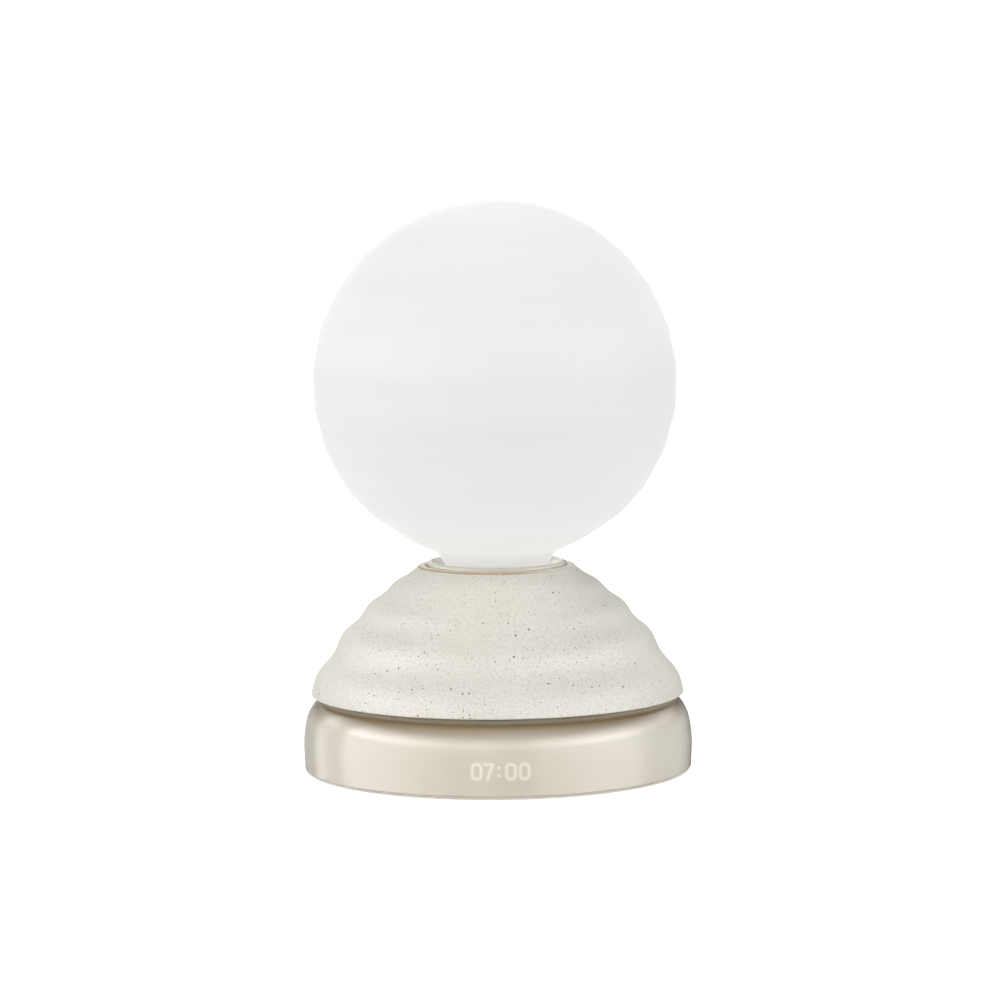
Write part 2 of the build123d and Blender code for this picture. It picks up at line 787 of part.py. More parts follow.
with BuildPart() as ceramic_dome:
    rim_edge = (dome_rim_radius, rim_top - rim_rounding)
    foot_edge = (dome_radius, dome_bottom + foot_rounding)
    centre, radius = arc_centre(rim_edge, foot_edge, dome_bulge)
    hollow_top = (dome_hole_radius, collar_seat - dome_ledge)
    hollow_foot = (dome_foot_inner, dome_bottom + dome_wall)
    middle = Vector((hollow_top[0] + hollow_foot[0]) / 2, (hollow_top[1] + hollow_foot[1]) / 2)
    away = (middle - Vector(*centre)).normalized()
    with BuildSketch(Plane.XZ):
        with BuildLine():
            outside = Spline(dome_meridian(rim_edge, foot_edge))
            rim = ThreePointArc((dome_rim_radius - rim_rounding, rim_top),
                                (dome_rim_radius - 0.293 * rim_rounding, rim_top - 0.293 * rim_rounding),
                                outside @ 0)
            Polyline(rim @ 0, (collar_radius + collar_clearance, rim_top),
                     (collar_radius + collar_clearance, collar_seat), (dome_hole_radius, collar_seat),
                     hollow_top)
            ThreePointArc(hollow_top, Vector(*centre) + away * (radius - dome_wall), hollow_foot)
            foot = TangentArc(outside @ 1, (dome_radius - foot_rounding, dome_bottom), tangent=outside % 1)
            Polyline(foot @ 1, (dome_foot_inner, dome_bottom), hollow_foot)
        make_face()
    revolve(axis=Axis.Z)
save(ceramic_dome, "ceramic_dome")

# Column that ties the dome to the base

with BuildPart() as light_column:
    add(turned([
        (column_bore, shell_ceiling),
        (spigot_radius, shell_ceiling),
        (spigot_radius, base_height),
        (column_flange_radius, base_height),
        (column_flange_radius, base_height + column_flange - 1),
        (column_flange_radius - 1, base_height + column_flange),
        (column_tube_radius, base_height + column_flange),
        (column_tube_radius, head_bottom - column_flare),
        (column_head_radius, head_bottom),
        (column_head_radius, web_bottom),
        (column_bore, web_bottom),
    ]))
    with BuildSketch(Plane.XY.offset(base_height)):
        with column_screw_places():
            Circle(column_screw[0] + screw_gap)
    extrude(amount=column_screw[3] - top_wall + 0.4, mode=Mode.SUBTRACT)
    with BuildSketch(Plane.XY.offset(web_bottom)):
        with collar_screw_places():
            Circle(collar_screw[0] + screw_gap)
        with sink_screw_places():
            Circle(sink_screw[0] + screw_gap)
    extrude(amount=-column_head, mode=Mode.SUBTRACT)
save(light_column, "light_column")

with BuildPart() as column_screws:
    with Locations(Plane(origin=(0, 0, shell_ceiling), z_dir=(0, 0, -1))):
        with column_screw_places():
            add(screw(column_screw))
save(column_screws, "column_screws")

# Collar and its seat for the glass

collar_gasket = disc(collar_radius - 0.2, collar_seat, collar_face, inner=collar_tube_radius + 0.3)
save(collar_gasket, "collar_gasket")

with BuildPart() as collar_ring:
    with BuildSketch(Plane.XZ):
        with BuildLine():
            lip = ThreePointArc((collar_radius, collar_top - collar_lip),
                                (collar_radius - collar_lip * 0.293, collar_top - collar_lip * 0.293),
                                (collar_radius - collar_lip, collar_top))
            inner_lip = ThreePointArc(lip @ 1, (collar_radius - collar_lip - 0.8, collar_top - 0.25),
                                      (collar_radius - collar_lip - 1.3, collar_top - 0.8))
            Polyline(
                inner_lip @ 1,
                (collar_bore + 0.9, collar_top - dish_depth),
                (collar_bore, collar_top - dish_depth - 1.0),
                (collar_bore, web_top),
                (collar_ledge_radius, web_top),
                (collar_ledge_radius, web_bottom),
                (collar_tube_radius, web_bottom),
                (collar_tube_radius, collar_face),
                (collar_radius, collar_face),
                lip @ 0,
            )
        make_face()
    revolve(axis=Axis.Z)
    with BuildSketch(Plane.XY.offset(web_bottom)):
        with collar_screw_places():
            Circle(collar_screw[0] + 0.2)
    extrude(amount=collar_web, mode=Mode.SUBTRACT)
    with BuildSketch(Plane.XY.offset(web_top)):
        with collar_screw_places():
            Circle(collar_screw[1] + 0.15)
    extrude(amount=-collar_screw_sink, mode=Mode.SUBTRACT)
save(collar_ring, "collar_ring")

with BuildPart() as collar_screws:
    with Locations(Plane.XY.offset(web_top - collar_screw_sink)):
        with collar_screw_places():
            add(screw(collar_screw))
save(collar_screws, "collar_screws")

neck_seat = disc(neck_radius + 0.3, web_top, neck_bottom, inner=neck_radius - glass_wall - 0.3)
save(neck_seat, "neck_seat")

# Light inside the globe

with BuildPart() as heat_sink:
    with BuildSketch(Plane.XY.offset(web_bottom)):
        Circle(sink_flange_radius)
        Circle(sink_bore, mode=Mode.SUBTRACT)
        with sink_screw_places():
            Circle(sink_screw[0] + 0.2, mode=Mode.SUBTRACT)
    extrude(amount=sink_flange)
    with BuildSketch(Plane.XY.offset(web_bottom + sink_flange)):
        Circle(sink_radius)
        Circle(sink_bore, mode=Mode.SUBTRACT)
    extrude(amount=sink_height - sink_flange)
    with BuildSketch(Plane.XY.offset(web_bottom + sink_flange + 2)):
        with PolarLocations(sink_radius, fin_count):
            Rectangle(fin_depth * 2, fin_gap)
    extrude(amount=sink_height - sink_flange - 2 - light_screw[3] - 1.5, mode=Mode.SUBTRACT)
    with BuildSketch(Plane.XY.offset(sink_top)):
        with light_screw_places():
            Circle(light_screw[0] + screw_gap)
    extrude(amount=-light_screw[3], mode=Mode.SUBTRACT)
save(heat_sink, "heat_sink")

with BuildPart() as heat_sink_screws:
    with Locations(Plane.XY.offset(web_bottom + sink_flange)):
        with sink_screw_places():
            add(screw(sink_screw))
save(heat_sink_screws, "heat_sink_screws")

with BuildPart() as light_board:
    with BuildSketch(Plane.XY.offset(sink_top)):
        Circle(light_board_radius)
        Circle(1.0, mode=Mode.SUBTRACT)
        with light_screw_places():
            Circle(light_screw[0] + 0.2, mode=Mode.SUBTRACT)
    extrude(amount=light_board_thickness)
save(light_board, "light_board")

with BuildPart() as light_board_screws:
    with Locations(Plane.XY.offset(light_board_top)):
        with light_screw_places():
            add(screw(light_screw))
save(light_board_screws, "light_board_screws")

with BuildPart() as light_leds:
    with BuildSketch(Plane.XY.offset(light_board_top)):
        with PolarLocations(led_ring_radius, led_count):
            Rectangle(2.8, 3.5)
    extrude(amount=0.7)
save(light_leds, "light_leds")

with BuildPart() as light_diffuser:
    inner = diffuser_radius - diffuser_wall
    with BuildSketch(Plane.XZ):
        with BuildLine():
            crown = CenterArc((0, skirt_top), diffuser_radius, 0, 90)
            under = CenterArc((0, skirt_top), inner, 0, 90)
            Line(crown @ 1, under @ 1)
            Polyline(under @ 0, (inner, light_board_top), (light_board_radius + 0.2, light_board_top),
                     (light_board_radius + 0.2, skirt_bottom), (diffuser_radius, skirt_bottom), crown @ 0)
        make_face()
    revolve(axis=Axis.Z)
save(light_diffuser, "light_diffuser")

with BuildPart() as light_header:
    with Locations((0, 0, board_top)):
        Box(8, 5, header_height, align=(Align.CENTER, Align.CENTER, Align.MIN))
save(light_header, "light_header")

with BuildPart() as light_plug:
    with Locations((0, 0, board_top + header_height)):
        Box(7, 4.4, plug_height, align=(Align.CENTER, Align.CENTER, Align.MIN))
save(light_plug, "light_plug")

light_lead = disc(lead_radius, board_top + header_height + plug_height, sink_top)
save(light_lead, "light_lead")

# Glass globe

def ball_point(latitude, radius, ripple, flat):
    """A meridian point of the ball at a latitude in degrees."""
    wave = ripple * cos(radians(globe_ripple_count * (latitude - 5))) * cos(radians(latitude))
    low = min(max((-latitude - 40) / 15, 0), 1)
    distance = radius + wave - flat * low ** 2 * (3 - 2 * low)
    return (distance * cos(radians(latitude)), globe_centre + distance * sin(radians(latitude)))


with BuildPart() as glass_globe:
    last = -degrees(acos(neck_top_radius / (globe_radius - globe_flat)))
    waves = 72
    outside_points = [ball_point(90 + (last - 90) * step / waves, globe_radius, globe_ripple, globe_flat)
                      for step in range(waves + 1)]
    outside_points += [(neck_radius + out, rim_top + up)
                       for out, up in ((6.2, 6.0), (4.1, 3.9), (2.4, 1.4), (0.8, -1.3), (0, -4.0))]
    inner_points = [ball_point(90 + (last - 90) * step / 12, globe_radius - glass_wall, 0, globe_flat)
                    for step in range(13)]
    inner_points += [(neck_radius - glass_wall + out, rim_top + up)
                     for out, up in ((7.2, 8.1), (4.7, 5.5), (2.8, 2.7), (1.0, -0.3), (0, -4.0))]
    with BuildSketch(Plane.XZ):
        with BuildLine():
            skin = Spline(outside_points, tangents=[(1, 0), (0, -1)])
            lining = Spline(inner_points, tangents=[(1, 0), (0, -1)])
            Polyline(skin @ 1, (neck_radius, neck_bottom), (neck_radius - glass_wall, neck_bottom),
                     lining @ 1)
            Line(skin @ 0, lining @ 0)
        make_face()
    revolve(axis=Axis.Z)
    fillet(glass_globe.faces().sort_by(Axis.Z)[0].edges(), 0.8)
save(glass_globe, "glass_globe")

print("base", round(base_height, 2), "rim", round(rim_top, 2), "globe top", round(globe_centre + globe_radius, 2))
print("globe lift", round(globe_lift, 2), "button travel", button_travel, "cone travel", cone_travel)
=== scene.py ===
import bmesh
import bpy
import math
import numpy as np
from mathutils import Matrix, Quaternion, Vector


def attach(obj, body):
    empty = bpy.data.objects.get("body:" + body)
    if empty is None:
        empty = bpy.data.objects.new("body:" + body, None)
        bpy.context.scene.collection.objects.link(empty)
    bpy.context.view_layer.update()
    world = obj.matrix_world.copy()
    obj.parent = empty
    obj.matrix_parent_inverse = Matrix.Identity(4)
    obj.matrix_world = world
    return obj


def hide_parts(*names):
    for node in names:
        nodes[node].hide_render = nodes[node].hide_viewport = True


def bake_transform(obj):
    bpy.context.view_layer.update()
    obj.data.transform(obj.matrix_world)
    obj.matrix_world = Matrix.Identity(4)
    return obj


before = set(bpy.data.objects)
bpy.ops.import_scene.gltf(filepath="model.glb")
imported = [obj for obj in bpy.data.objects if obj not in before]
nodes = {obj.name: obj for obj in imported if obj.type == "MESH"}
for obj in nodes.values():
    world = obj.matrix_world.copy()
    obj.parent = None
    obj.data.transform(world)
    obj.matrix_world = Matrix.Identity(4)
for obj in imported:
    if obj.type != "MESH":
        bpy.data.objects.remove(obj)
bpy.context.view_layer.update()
print("frame loaded:", len(nodes), "pieces")


def mm(size):
    return size / 1000.0


def linearColour(hexText):
    # sRGB hex to the linear values that shaders take
    parts = [int(hexText[k:k + 2], 16) / 255.0 for k in (1, 3, 5)]
    return tuple(p / 12.92 if p <= 0.04045 else ((p + 0.055) / 1.055) ** 2.4 for p in parts) + (1.0,)


def addNode(tree, kind, settings=None, values=None, links=None):
    # one node with its settings, unlinked values and incoming links; a node as a link gives its first output
    node = tree.nodes.new(kind)
    for key, value in (settings or {}).items():
        setattr(node, key, value)
    for key, value in (values or {}).items():
        node.inputs[key].default_value = value
    for key, source in (links or {}).items():
        tree.links.new(source.outputs[0] if isinstance(source, bpy.types.Node) else source, node.inputs[key])
    return node


def smoothCurve(points, startTangent, endTangent, samples):
    # a cubic curve through the points, with set directions at both ends
    p = np.array(points, float)
    steps = np.linalg.norm(np.diff(p, axis=0), axis=1)
    count = len(p)
    a, b = np.zeros((count, count)), np.zeros((count, 2))
    a[0, 0] = a[-1, -1] = 1.0
    b[0] = np.array(startTangent) / np.linalg.norm(startTangent)
    b[-1] = np.array(endTangent) / np.linalg.norm(endTangent)
    for i in range(1, count - 1):
        before, after = steps[i - 1], steps[i]
        a[i, i - 1], a[i, i], a[i, i + 1] = after, 2 * (before + after), before
        b[i] = 3 * (after * (p[i] - p[i - 1]) / before + before * (p[i + 1] - p[i]) / after)
    slopes = np.linalg.solve(a, b)
    line = []
    total = steps.sum()
    ends = np.concatenate([[0.0], np.cumsum(steps)])
    for s in np.linspace(0.0, total, samples):
        i = min(int(np.searchsorted(ends, s, side="right")) - 1, count - 2)
        h = steps[i]
        u = min(max((s - ends[i]) / h, 0.0), 1.0)
        q = ((2 * u ** 3 - 3 * u ** 2 + 1) * p[i] + (u ** 3 - 2 * u ** 2 + u) * h * slopes[i]
             + (3 * u ** 2 - 2 * u ** 3) * p[i + 1] + (u ** 3 - u ** 2) * h * slopes[i + 1])
        line.append((float(q[0]), float(q[1])))
    return line


def roundedCorner(corner, before, after, radius, samples=6):
    # points of a fillet at a corner of an outline
    c, a, b = (np.array(v, float) for v in (corner, before, after))
    toA, toB = (a - c) / np.linalg.norm(a - c), (b - c) / np.linalg.norm(b - c)
    half = math.acos(max(-1.0, min(1.0, float(toA @ toB)))) / 2
    reach = radius / math.tan(half)
    start, end = c + toA * reach, c + toB * reach
    middle = c + (toA + toB) / np.linalg.norm(toA + toB) * (radius / math.sin(half))
    first = math.atan2(*(start - middle)[::-1])
    sweep = math.atan2(*(end - middle)[::-1]) - first
    sweep = (sweep + math.pi) % (2 * math.pi) - math.pi
    return [tuple(middle + radius * np.array((math.cos(first + sweep * k / samples),
                                              math.sin(first + sweep * k / samples))))
            for k in range(samples + 1)]


def newPiece(name, verts, faces, material, smooth=False):
    # a mesh object that stands at the origin, with its place in its mesh
    mesh = bpy.data.meshes.new(name)
    mesh.from_pydata(verts, [], faces)
    mesh.polygons.foreach_set("use_smooth", [smooth] * len(mesh.polygons))
    mesh.materials.append(material)
    piece = bpy.data.objects.new(name, mesh)
    bpy.context.collection.objects.link(piece)
    return piece


def turnedPiece(name, outline, turns, marks, material):
    # a closed outline of (radius, height) in mm, turned about the upright axis
    verts, faces, rings, along = [], [], [], []
    for (radius, height), mark in zip(outline, marks):
        count = 1 if radius < 1e-6 else turns
        rings.append(list(range(len(verts), len(verts) + count)))
        for k in range(count):
            angle = 2 * math.pi * k / turns
            verts.append((mm(radius) * math.cos(angle), mm(radius) * math.sin(angle), mm(height)))
        along += [mark] * count
    for i, ring in enumerate(rings):
        other = rings[(i + 1) % len(rings)]
        if len(ring) == 1 and len(other) == 1:
            continue
        for k in range(turns):
            n = (k + 1) % turns
            if len(ring) == 1:
                faces.append((ring[0], other[n], other[k]))
            elif len(other) == 1:
                faces.append((ring[k], ring[n], other[0]))
            else:
                faces.append((ring[k], ring[n], other[n], other[k]))
    piece = newPiece(name, verts, faces, material, smooth=True)
    tidy = bmesh.new()
    tidy.from_mesh(piece.data)
    bmesh.ops.recalc_face_normals(tidy, faces=tidy.faces)
    tidy.to_mesh(piece.data)
    tidy.free()
    piece.data.attributes.new("along", "FLOAT", "POINT").data.foreach_set("value", along)
    return piece


def makeTree(name, inputs):
    # a Geometry Nodes tree with a mesh going through it and named inputs
    tree = bpy.data.node_groups.new(name, "GeometryNodeTree")
    tree.interface.new_socket("Geometry", in_out="INPUT", socket_type="NodeSocketGeometry")
    for label, kind in inputs:
        tree.interface.new_socket(label, in_out="INPUT", socket_type=kind)
    tree.interface.new_socket("Geometry", in_out="OUTPUT", socket_type="NodeSocketGeometry")
    return tree, addNode(tree, "NodeGroupInput"), addNode(tree, "NodeGroupOutput")


def finishTree(tree, given, result, geometry):
    # every tree ends the same way, so that the export keeps what it makes
    real = addNode(tree, "GeometryNodeRealizeInstances", links={"Geometry": geometry})
    painted = addNode(tree, "GeometryNodeSetMaterial", links={"Geometry": real, "Material": given.outputs["Material"]})
    tree.links.new(painted.outputs["Geometry"], result.inputs["Geometry"])


def runTree(piece, tree, values):
    # inputs are set by identifier, the result becomes a plain mesh, and the modifier goes
    modifier = piece.modifiers.new(tree.name, "NODES")
    modifier.node_group = tree
    for item in tree.interface.items_tree:
        if item.item_type == "SOCKET" and item.in_out == "INPUT" and item.name in values:
            modifier[item.identifier] = values[item.name]
    bpy.context.view_layer.update()
    graph = bpy.context.evaluated_depsgraph_get()
    made = bpy.data.meshes.new_from_object(piece.evaluated_get(graph), depsgraph=graph)
    piece.modifiers.remove(modifier)
    piece.data = made
    made.name = piece.name


def paint(name, material):
    # a CAD node keeps its mesh and gets the material in all its slots
    piece = nodes[name]
    if not piece.material_slots:
        piece.data.materials.append(material)
    for slot in piece.material_slots:
        slot.material = material


def startMaterial(name, colour, roughness, ior=1.5, metallic=0.0):
    material = bpy.data.materials.new(name)
    material.use_nodes = True
    tree = material.node_tree
    shader = tree.nodes["Principled BSDF"]
    shader.inputs["Base Color"].default_value = linearColour(colour)
    shader.inputs["Roughness"].default_value = roughness
    shader.inputs["Metallic"].default_value = metallic
    if metallic < 0.5:
        shader.inputs["IOR"].default_value = ior
    place = addNode(tree, "ShaderNodeTexCoord").outputs["Object"]
    return material, tree, shader, place


def addRelief(tree, shader, place, grain, height, detail=2.0):
    # grain and height in mm: the real spacing and depth of the surface's unevenness
    noise = addNode(tree, "ShaderNodeTexNoise", values={"Scale": 1000.0 / grain, "Detail": detail},
                    links={"Vector": place})
    bump = addNode(tree, "ShaderNodeBump", values={"Distance": mm(height)}, links={"Height": noise})
    tree.links.new(bump.outputs["Normal"], shader.inputs["Normal"])


def addTone(tree, shader, place, spacing, light, dark, stretch=None):
    # slow colour change between two hex colours over a real spacing in mm
    low, high = 0.35, 0.65  # the noise seldom leaves this span
    if stretch:
        place = addNode(tree, "ShaderNodeMapping", values={"Scale": stretch},
                        links={"Vector": place}).outputs["Vector"]
    noise = addNode(tree, "ShaderNodeTexNoise", values={"Scale": 1000.0 / spacing, "Detail": 3.0},
                    links={"Vector": place})
    spread = addNode(tree, "ShaderNodeMapRange", values={"From Min": low, "From Max": high}, links={"Value": noise})
    mixed = addNode(tree, "ShaderNodeMix", {"data_type": "RGBA"}, links={"Factor": spread})
    mixed.inputs[6].default_value = linearColour(dark)
    mixed.inputs[7].default_value = linearColour(light)
    tree.links.new(mixed.outputs[2], shader.inputs["Base Color"])
    return mixed.outputs[2]


def standPoint(tree, place):
    # the place's own coordinates, and its distance from the upright axis
    apart = addNode(tree, "ShaderNodeSeparateXYZ", links={"Vector": place})
    flat = addNode(tree, "ShaderNodeCombineXYZ", links={"X": apart.outputs["X"], "Y": apart.outputs["Y"]})
    radius = addNode(tree, "ShaderNodeVectorMath", {"operation": "LENGTH"}, links={0: flat})
    return apart, radius.outputs["Value"]


def opalGlassPaintedGlow():
    # mouth-blown opal glass, etched outside: white all through, with a soft sheen
    look = {"painted glow at middle": 0.52, "painted glow at ends": 0.57, "middle height": 150.0, "reach": 65.0, "bands": 90.0,
            "band stretch": (0.35, 0.35, 4.5), "etch grain": 0.6, "etch depth": 0.006}
    # the base colour is kept grey, as the painted glow gives most of the glass's whiteness
    material, tree, shader, place = startMaterial("opal glass, etched", "#969694", 0.5, ior=1.52)
    addTone(tree, shader, place, look["bands"], "#999997", "#939391", stretch=look["band stretch"])
    # painted light: a glow stands in for light scattered through the glass, so sides turned from the lamps stay pale
    apart = addNode(tree, "ShaderNodeSeparateXYZ", links={"Vector": place})
    above = addNode(tree, "ShaderNodeMath", {"operation": "SUBTRACT"}, {1: mm(look["middle height"])},
                    {0: apart.outputs["Z"]})
    away = addNode(tree, "ShaderNodeMath", {"operation": "ABSOLUTE"}, links={0: above})
    # the painted glow is a little stronger towards the top and round the neck than at the ball's middle
    level = addNode(tree, "ShaderNodeMapRange", {"interpolation_type": "SMOOTHSTEP"},
                    {"From Max": mm(look["reach"]), "To Min": look["painted glow at middle"], "To Max": look["painted glow at ends"]},
                    {"Value": away})
    shader.inputs["Emission Color"].default_value = linearColour("#FFFFFF")
    shader.inputs["Specular IOR Level"].default_value = 0.1  # the etched skin scatters nearly all its shine
    tree.links.new(level.outputs["Result"], shader.inputs["Emission Strength"])
    addRelief(tree, shader, place, look["etch grain"], look["etch depth"])
    return material


def addSpecks(tree, place, thick, colour, layer):
    # iron specks of one kind: one in each cell, some cells left empty, sizes in mm
    spacing, smallest, largest, share, hexText = layer
    cells = addNode(tree, "ShaderNodeTexVoronoi", {"feature": "F1"},
                    {"Scale": 1000.0 / spacing, "Randomness": 1.0}, {"Vector": place})
    chance = addNode(tree, "ShaderNodeSeparateColor", links={"Color": cells.outputs["Color"]})
    # where the body holds more iron, more of the cells carry a speck
    luck = addNode(tree, "ShaderNodeMath", {"operation": "ADD"}, links={0: chance.outputs["Red"], 1: thick})
    present = addNode(tree, "ShaderNodeMath", {"operation": "GREATER_THAN"}, {1: 1.0 - share}, {0: luck})
    size = addNode(tree, "ShaderNodeMapRange", values={"To Min": smallest / spacing, "To Max": largest / spacing},
                   links={"Value": chance.outputs["Green"]})
    bleed = 0.16  # width in mm over which a speck runs out into the glaze
    inside = addNode(tree, "ShaderNodeMath", {"operation": "SUBTRACT"}, links={0: size, 1: cells.outputs["Distance"]})
    edge = addNode(tree, "ShaderNodeMapRange", values={"From Min": 0.0, "From Max": bleed / spacing},
                   links={"Value": inside})
    mask = addNode(tree, "ShaderNodeMath", {"operation": "MULTIPLY"}, links={0: edge, 1: present})
    mixed = addNode(tree, "ShaderNodeMix", {"data_type": "RGBA"}, links={"Factor": mask, 6: colour})
    mixed.inputs[7].default_value = linearColour(hexText)
    return mixed.outputs[2]


def speckledStoneware():
    # stoneware with iron specks under a satin glaze: specks bleed brown, sharp edges break tan
    look = {
        "mottle": 26.0, "grain": 1.0, "patch": 24.0, "grain from": 0.42, "grain to": 0.62, "grain most": 0.5,
        # added to the share of cells with a speck: in poor and rich patches, and away from and on the iron side
        "fewest": -0.3, "most": 0.22, "far side": -0.2, "near side": 0.12,
        # the tan line where the glaze breaks: its place, its half width in mm, and how much stays where glaze ran over
        "rim height": 78.6, "rim radius": 29.9, "line": 0.25, "line end": 0.7, "line left": 0.15,
        # the side of the dome where the body holds most iron, and how far round that reaches in mm
        "iron side": (0.22, -0.97, 0.0), "iron from": 20.0, "iron to": 58.0,
        # the glaze breaks on the rim up to here, and runs over it further right
        "break to": 6.0, "run over": 20.0,
        # spacing, smallest and largest radius in mm, share of the cells, colour
        "specks": [(0.9, 0.11, 0.26, 0.50, "#A5927A"), (1.5, 0.16, 0.35, 0.46, "#75634E"),
                   (2.4, 0.22, 0.48, 0.40, "#43362A")],
    }
    material, tree, shader, place = startMaterial("speckled stoneware, satin glaze", "#E3DDD1", 0.42, ior=1.54)
    shader.inputs["Specular IOR Level"].default_value = 0.22  # the satin glaze breaks up most of its shine
    colour = addTone(tree, shader, place, look["mottle"], "#EAE6DE", "#E5E1D8")
    # fine grain of the clay under the glaze
    grain = addNode(tree, "ShaderNodeTexNoise", values={"Scale": 1000.0 / look["grain"], "Detail": 2.0},
                    links={"Vector": place})
    fine = addNode(tree, "ShaderNodeMapRange",
                   values={"From Min": look["grain from"], "From Max": look["grain to"],
                           "To Max": look["grain most"]}, links={"Value": grain})
    sandy = addNode(tree, "ShaderNodeMix", {"data_type": "RGBA"}, links={"Factor": fine, 6: colour})
    sandy.inputs[7].default_value = linearColour("#D3CEC1")
    colour = sandy.outputs[2]
    patchy = addNode(tree, "ShaderNodeTexNoise", values={"Scale": 1000.0 / look["patch"], "Detail": 1.0},
                     links={"Vector": place})
    thick = addNode(tree, "ShaderNodeMapRange",
                    values={"From Min": 0.3, "From Max": 0.7, "To Min": look["fewest"], "To Max": look["most"]},
                    links={"Value": patchy})
    along = addNode(tree, "ShaderNodeVectorMath", {"operation": "DOT_PRODUCT"}, {1: look["iron side"]}, {0: place})
    side = addNode(tree, "ShaderNodeMapRange",
                   values={"From Min": mm(look["iron from"]), "From Max": mm(look["iron to"]),
                           "To Min": look["far side"], "To Max": look["near side"]},
                   links={"Value": along.outputs["Value"]})
    iron = addNode(tree, "ShaderNodeMath", {"operation": "ADD"}, links={0: thick, 1: side})
    for layer in look["specks"]:
        colour = addSpecks(tree, place, iron.outputs["Value"], colour, layer)
    # the glaze breaks tan on the sharp edge of the top rim
    apart, radius = standPoint(tree, place)
    across = addNode(tree, "ShaderNodeMath", {"operation": "SUBTRACT"}, {1: mm(look["rim radius"])}, {0: radius})
    up = addNode(tree, "ShaderNodeMath", {"operation": "SUBTRACT"}, {1: mm(look["rim height"])},
                 {0: apart.outputs["Z"]})
    away = addNode(tree, "ShaderNodeCombineXYZ", links={"X": across, "Y": up})
    gap = addNode(tree, "ShaderNodeVectorMath", {"operation": "LENGTH"}, links={0: away})
    band = addNode(tree, "ShaderNodeMapRange",
                   values={"From Min": mm(look["line"]), "From Max": mm(look["line end"]), "To Min": 1.0,
                           "To Max": 0.0}, links={"Value": gap.outputs["Value"]})
    uneven = addNode(tree, "ShaderNodeMapRange",
                     values={"From Min": mm(look["break to"]), "From Max": mm(look["run over"]), "To Min": 1.0,
                             "To Max": look["line left"]}, links={"Value": apart.outputs["X"]})
    bare = addNode(tree, "ShaderNodeMath", {"operation": "MULTIPLY"}, links={0: band, 1: uneven})
    final = addNode(tree, "ShaderNodeMix", {"data_type": "RGBA"}, links={"Factor": bare, 6: colour})
    final.inputs[7].default_value = linearColour("#B5945F")
    tree.links.new(final.outputs[2], shader.inputs["Base Color"])
    addRelief(tree, shader, place, 3.5, 0.02, detail=3.0)
    return material


def glossyAbs(name, colour, deeper, roughness=0.12):
    # ABS moulded in a polished tool and lacquered: deep gloss with a trace of orange peel
    material, tree, shader, place = startMaterial(name, colour, roughness)
    addTone(tree, shader, place, 60.0, colour, deeper)
    addRelief(tree, shader, place, 5.0, 0.004, detail=0.0)
    return material


def shellAbsPaintedShade(name, colour, deeper):
    # the same gloss, with painted shade: a darker warm ring where the shell turns in under the dome stands in for its
    # shadow
    ring = {"start radius": 68.3, "full radius": 69.8, "fading radius": 70.2, "clear radius": 73.8,
            "lowest": 19.0, "colour": "#8A7757"}
    material = glossyAbs(name, colour, deeper)
    tree = material.node_tree
    shader = tree.nodes["Principled BSDF"]
    body = shader.inputs["Base Color"].links[0].from_socket
    place = addNode(tree, "ShaderNodeTexCoord").outputs["Object"]
    apart, radius = standPoint(tree, place)
    rising = addNode(tree, "ShaderNodeMapRange", {"interpolation_type": "SMOOTHSTEP"},
                     {"From Min": mm(ring["start radius"]), "From Max": mm(ring["full radius"])}, {"Value": radius})
    fading = addNode(tree, "ShaderNodeMapRange",
                     values={"From Min": mm(ring["fading radius"]), "From Max": mm(ring["clear radius"]),
                             "To Min": 1.0, "To Max": 0.0}, links={"Value": radius})
    paintedShadeUnderDome = addNode(tree, "ShaderNodeMath", {"operation": "MULTIPLY"}, links={0: rising, 1: fading})
    above = addNode(tree, "ShaderNodeMath", {"operation": "GREATER_THAN"}, {1: mm(ring["lowest"])},
                    {0: apart.outputs["Z"]})
    share = addNode(tree, "ShaderNodeMath", {"operation": "MULTIPLY"}, links={0: paintedShadeUnderDome, 1: above})
    # painted shade: the darker ring colour is mixed into the shell under the dome's edge, above the lowest height
    mixed = addNode(tree, "ShaderNodeMix", {"data_type": "RGBA"}, links={"Factor": share, 6: body})
    mixed.inputs[7].default_value = linearColour(ring["colour"])
    tree.links.new(mixed.outputs[2], shader.inputs["Base Color"])
    return material


def litWall(name, colour, deeper):
    # the same wall where lit dots shine through it: soft pale strokes with no hard edge
    shine = 0.18
    material = glossyAbs(name, colour, deeper)
    tree = material.node_tree
    shader = tree.nodes["Principled BSDF"]
    stroke = addNode(tree, "ShaderNodeAttribute", {"attribute_name": "glow"})
    level = addNode(tree, "ShaderNodeMath", {"operation": "MULTIPLY"}, {1: shine}, {0: stroke.outputs["Fac"]})
    shader.inputs["Emission Color"].default_value = linearColour("#FFF6DE")
    tree.links.new(level.outputs["Value"], shader.inputs["Emission Strength"])
    return material


def mouldedPlastic(name, colour, deeper, roughness=0.45, grain=0.35):
    # plastic moulded in a spark-eroded tool: a fine even grain that takes the shine off
    material, tree, shader, place = startMaterial(name, colour, roughness)
    addTone(tree, shader, place, 18.0, colour, deeper)
    addRelief(tree, shader, place, grain, 0.012)
    return material


def softSilicone(name, colour, deeper):
    # cast silicone: matt, slightly dusty
    material, tree, shader, place = startMaterial(name, colour, 0.7, ior=1.41)
    addTone(tree, shader, place, 6.0, colour, deeper)
    addRelief(tree, shader, place, 0.5, 0.02)
    return material


def platedSteel(name, colour, deeper, roughness=0.3):
    # pressed steel with a thin zinc or nickel coat: fine streaks from rolling
    material, tree, shader, place = startMaterial(name, colour, roughness, metallic=1.0)
    addTone(tree, shader, place, 3.0, colour, deeper, stretch=(1.0, 1.0, 8.0))
    addRelief(tree, shader, place, 0.4, 0.004)
    return material


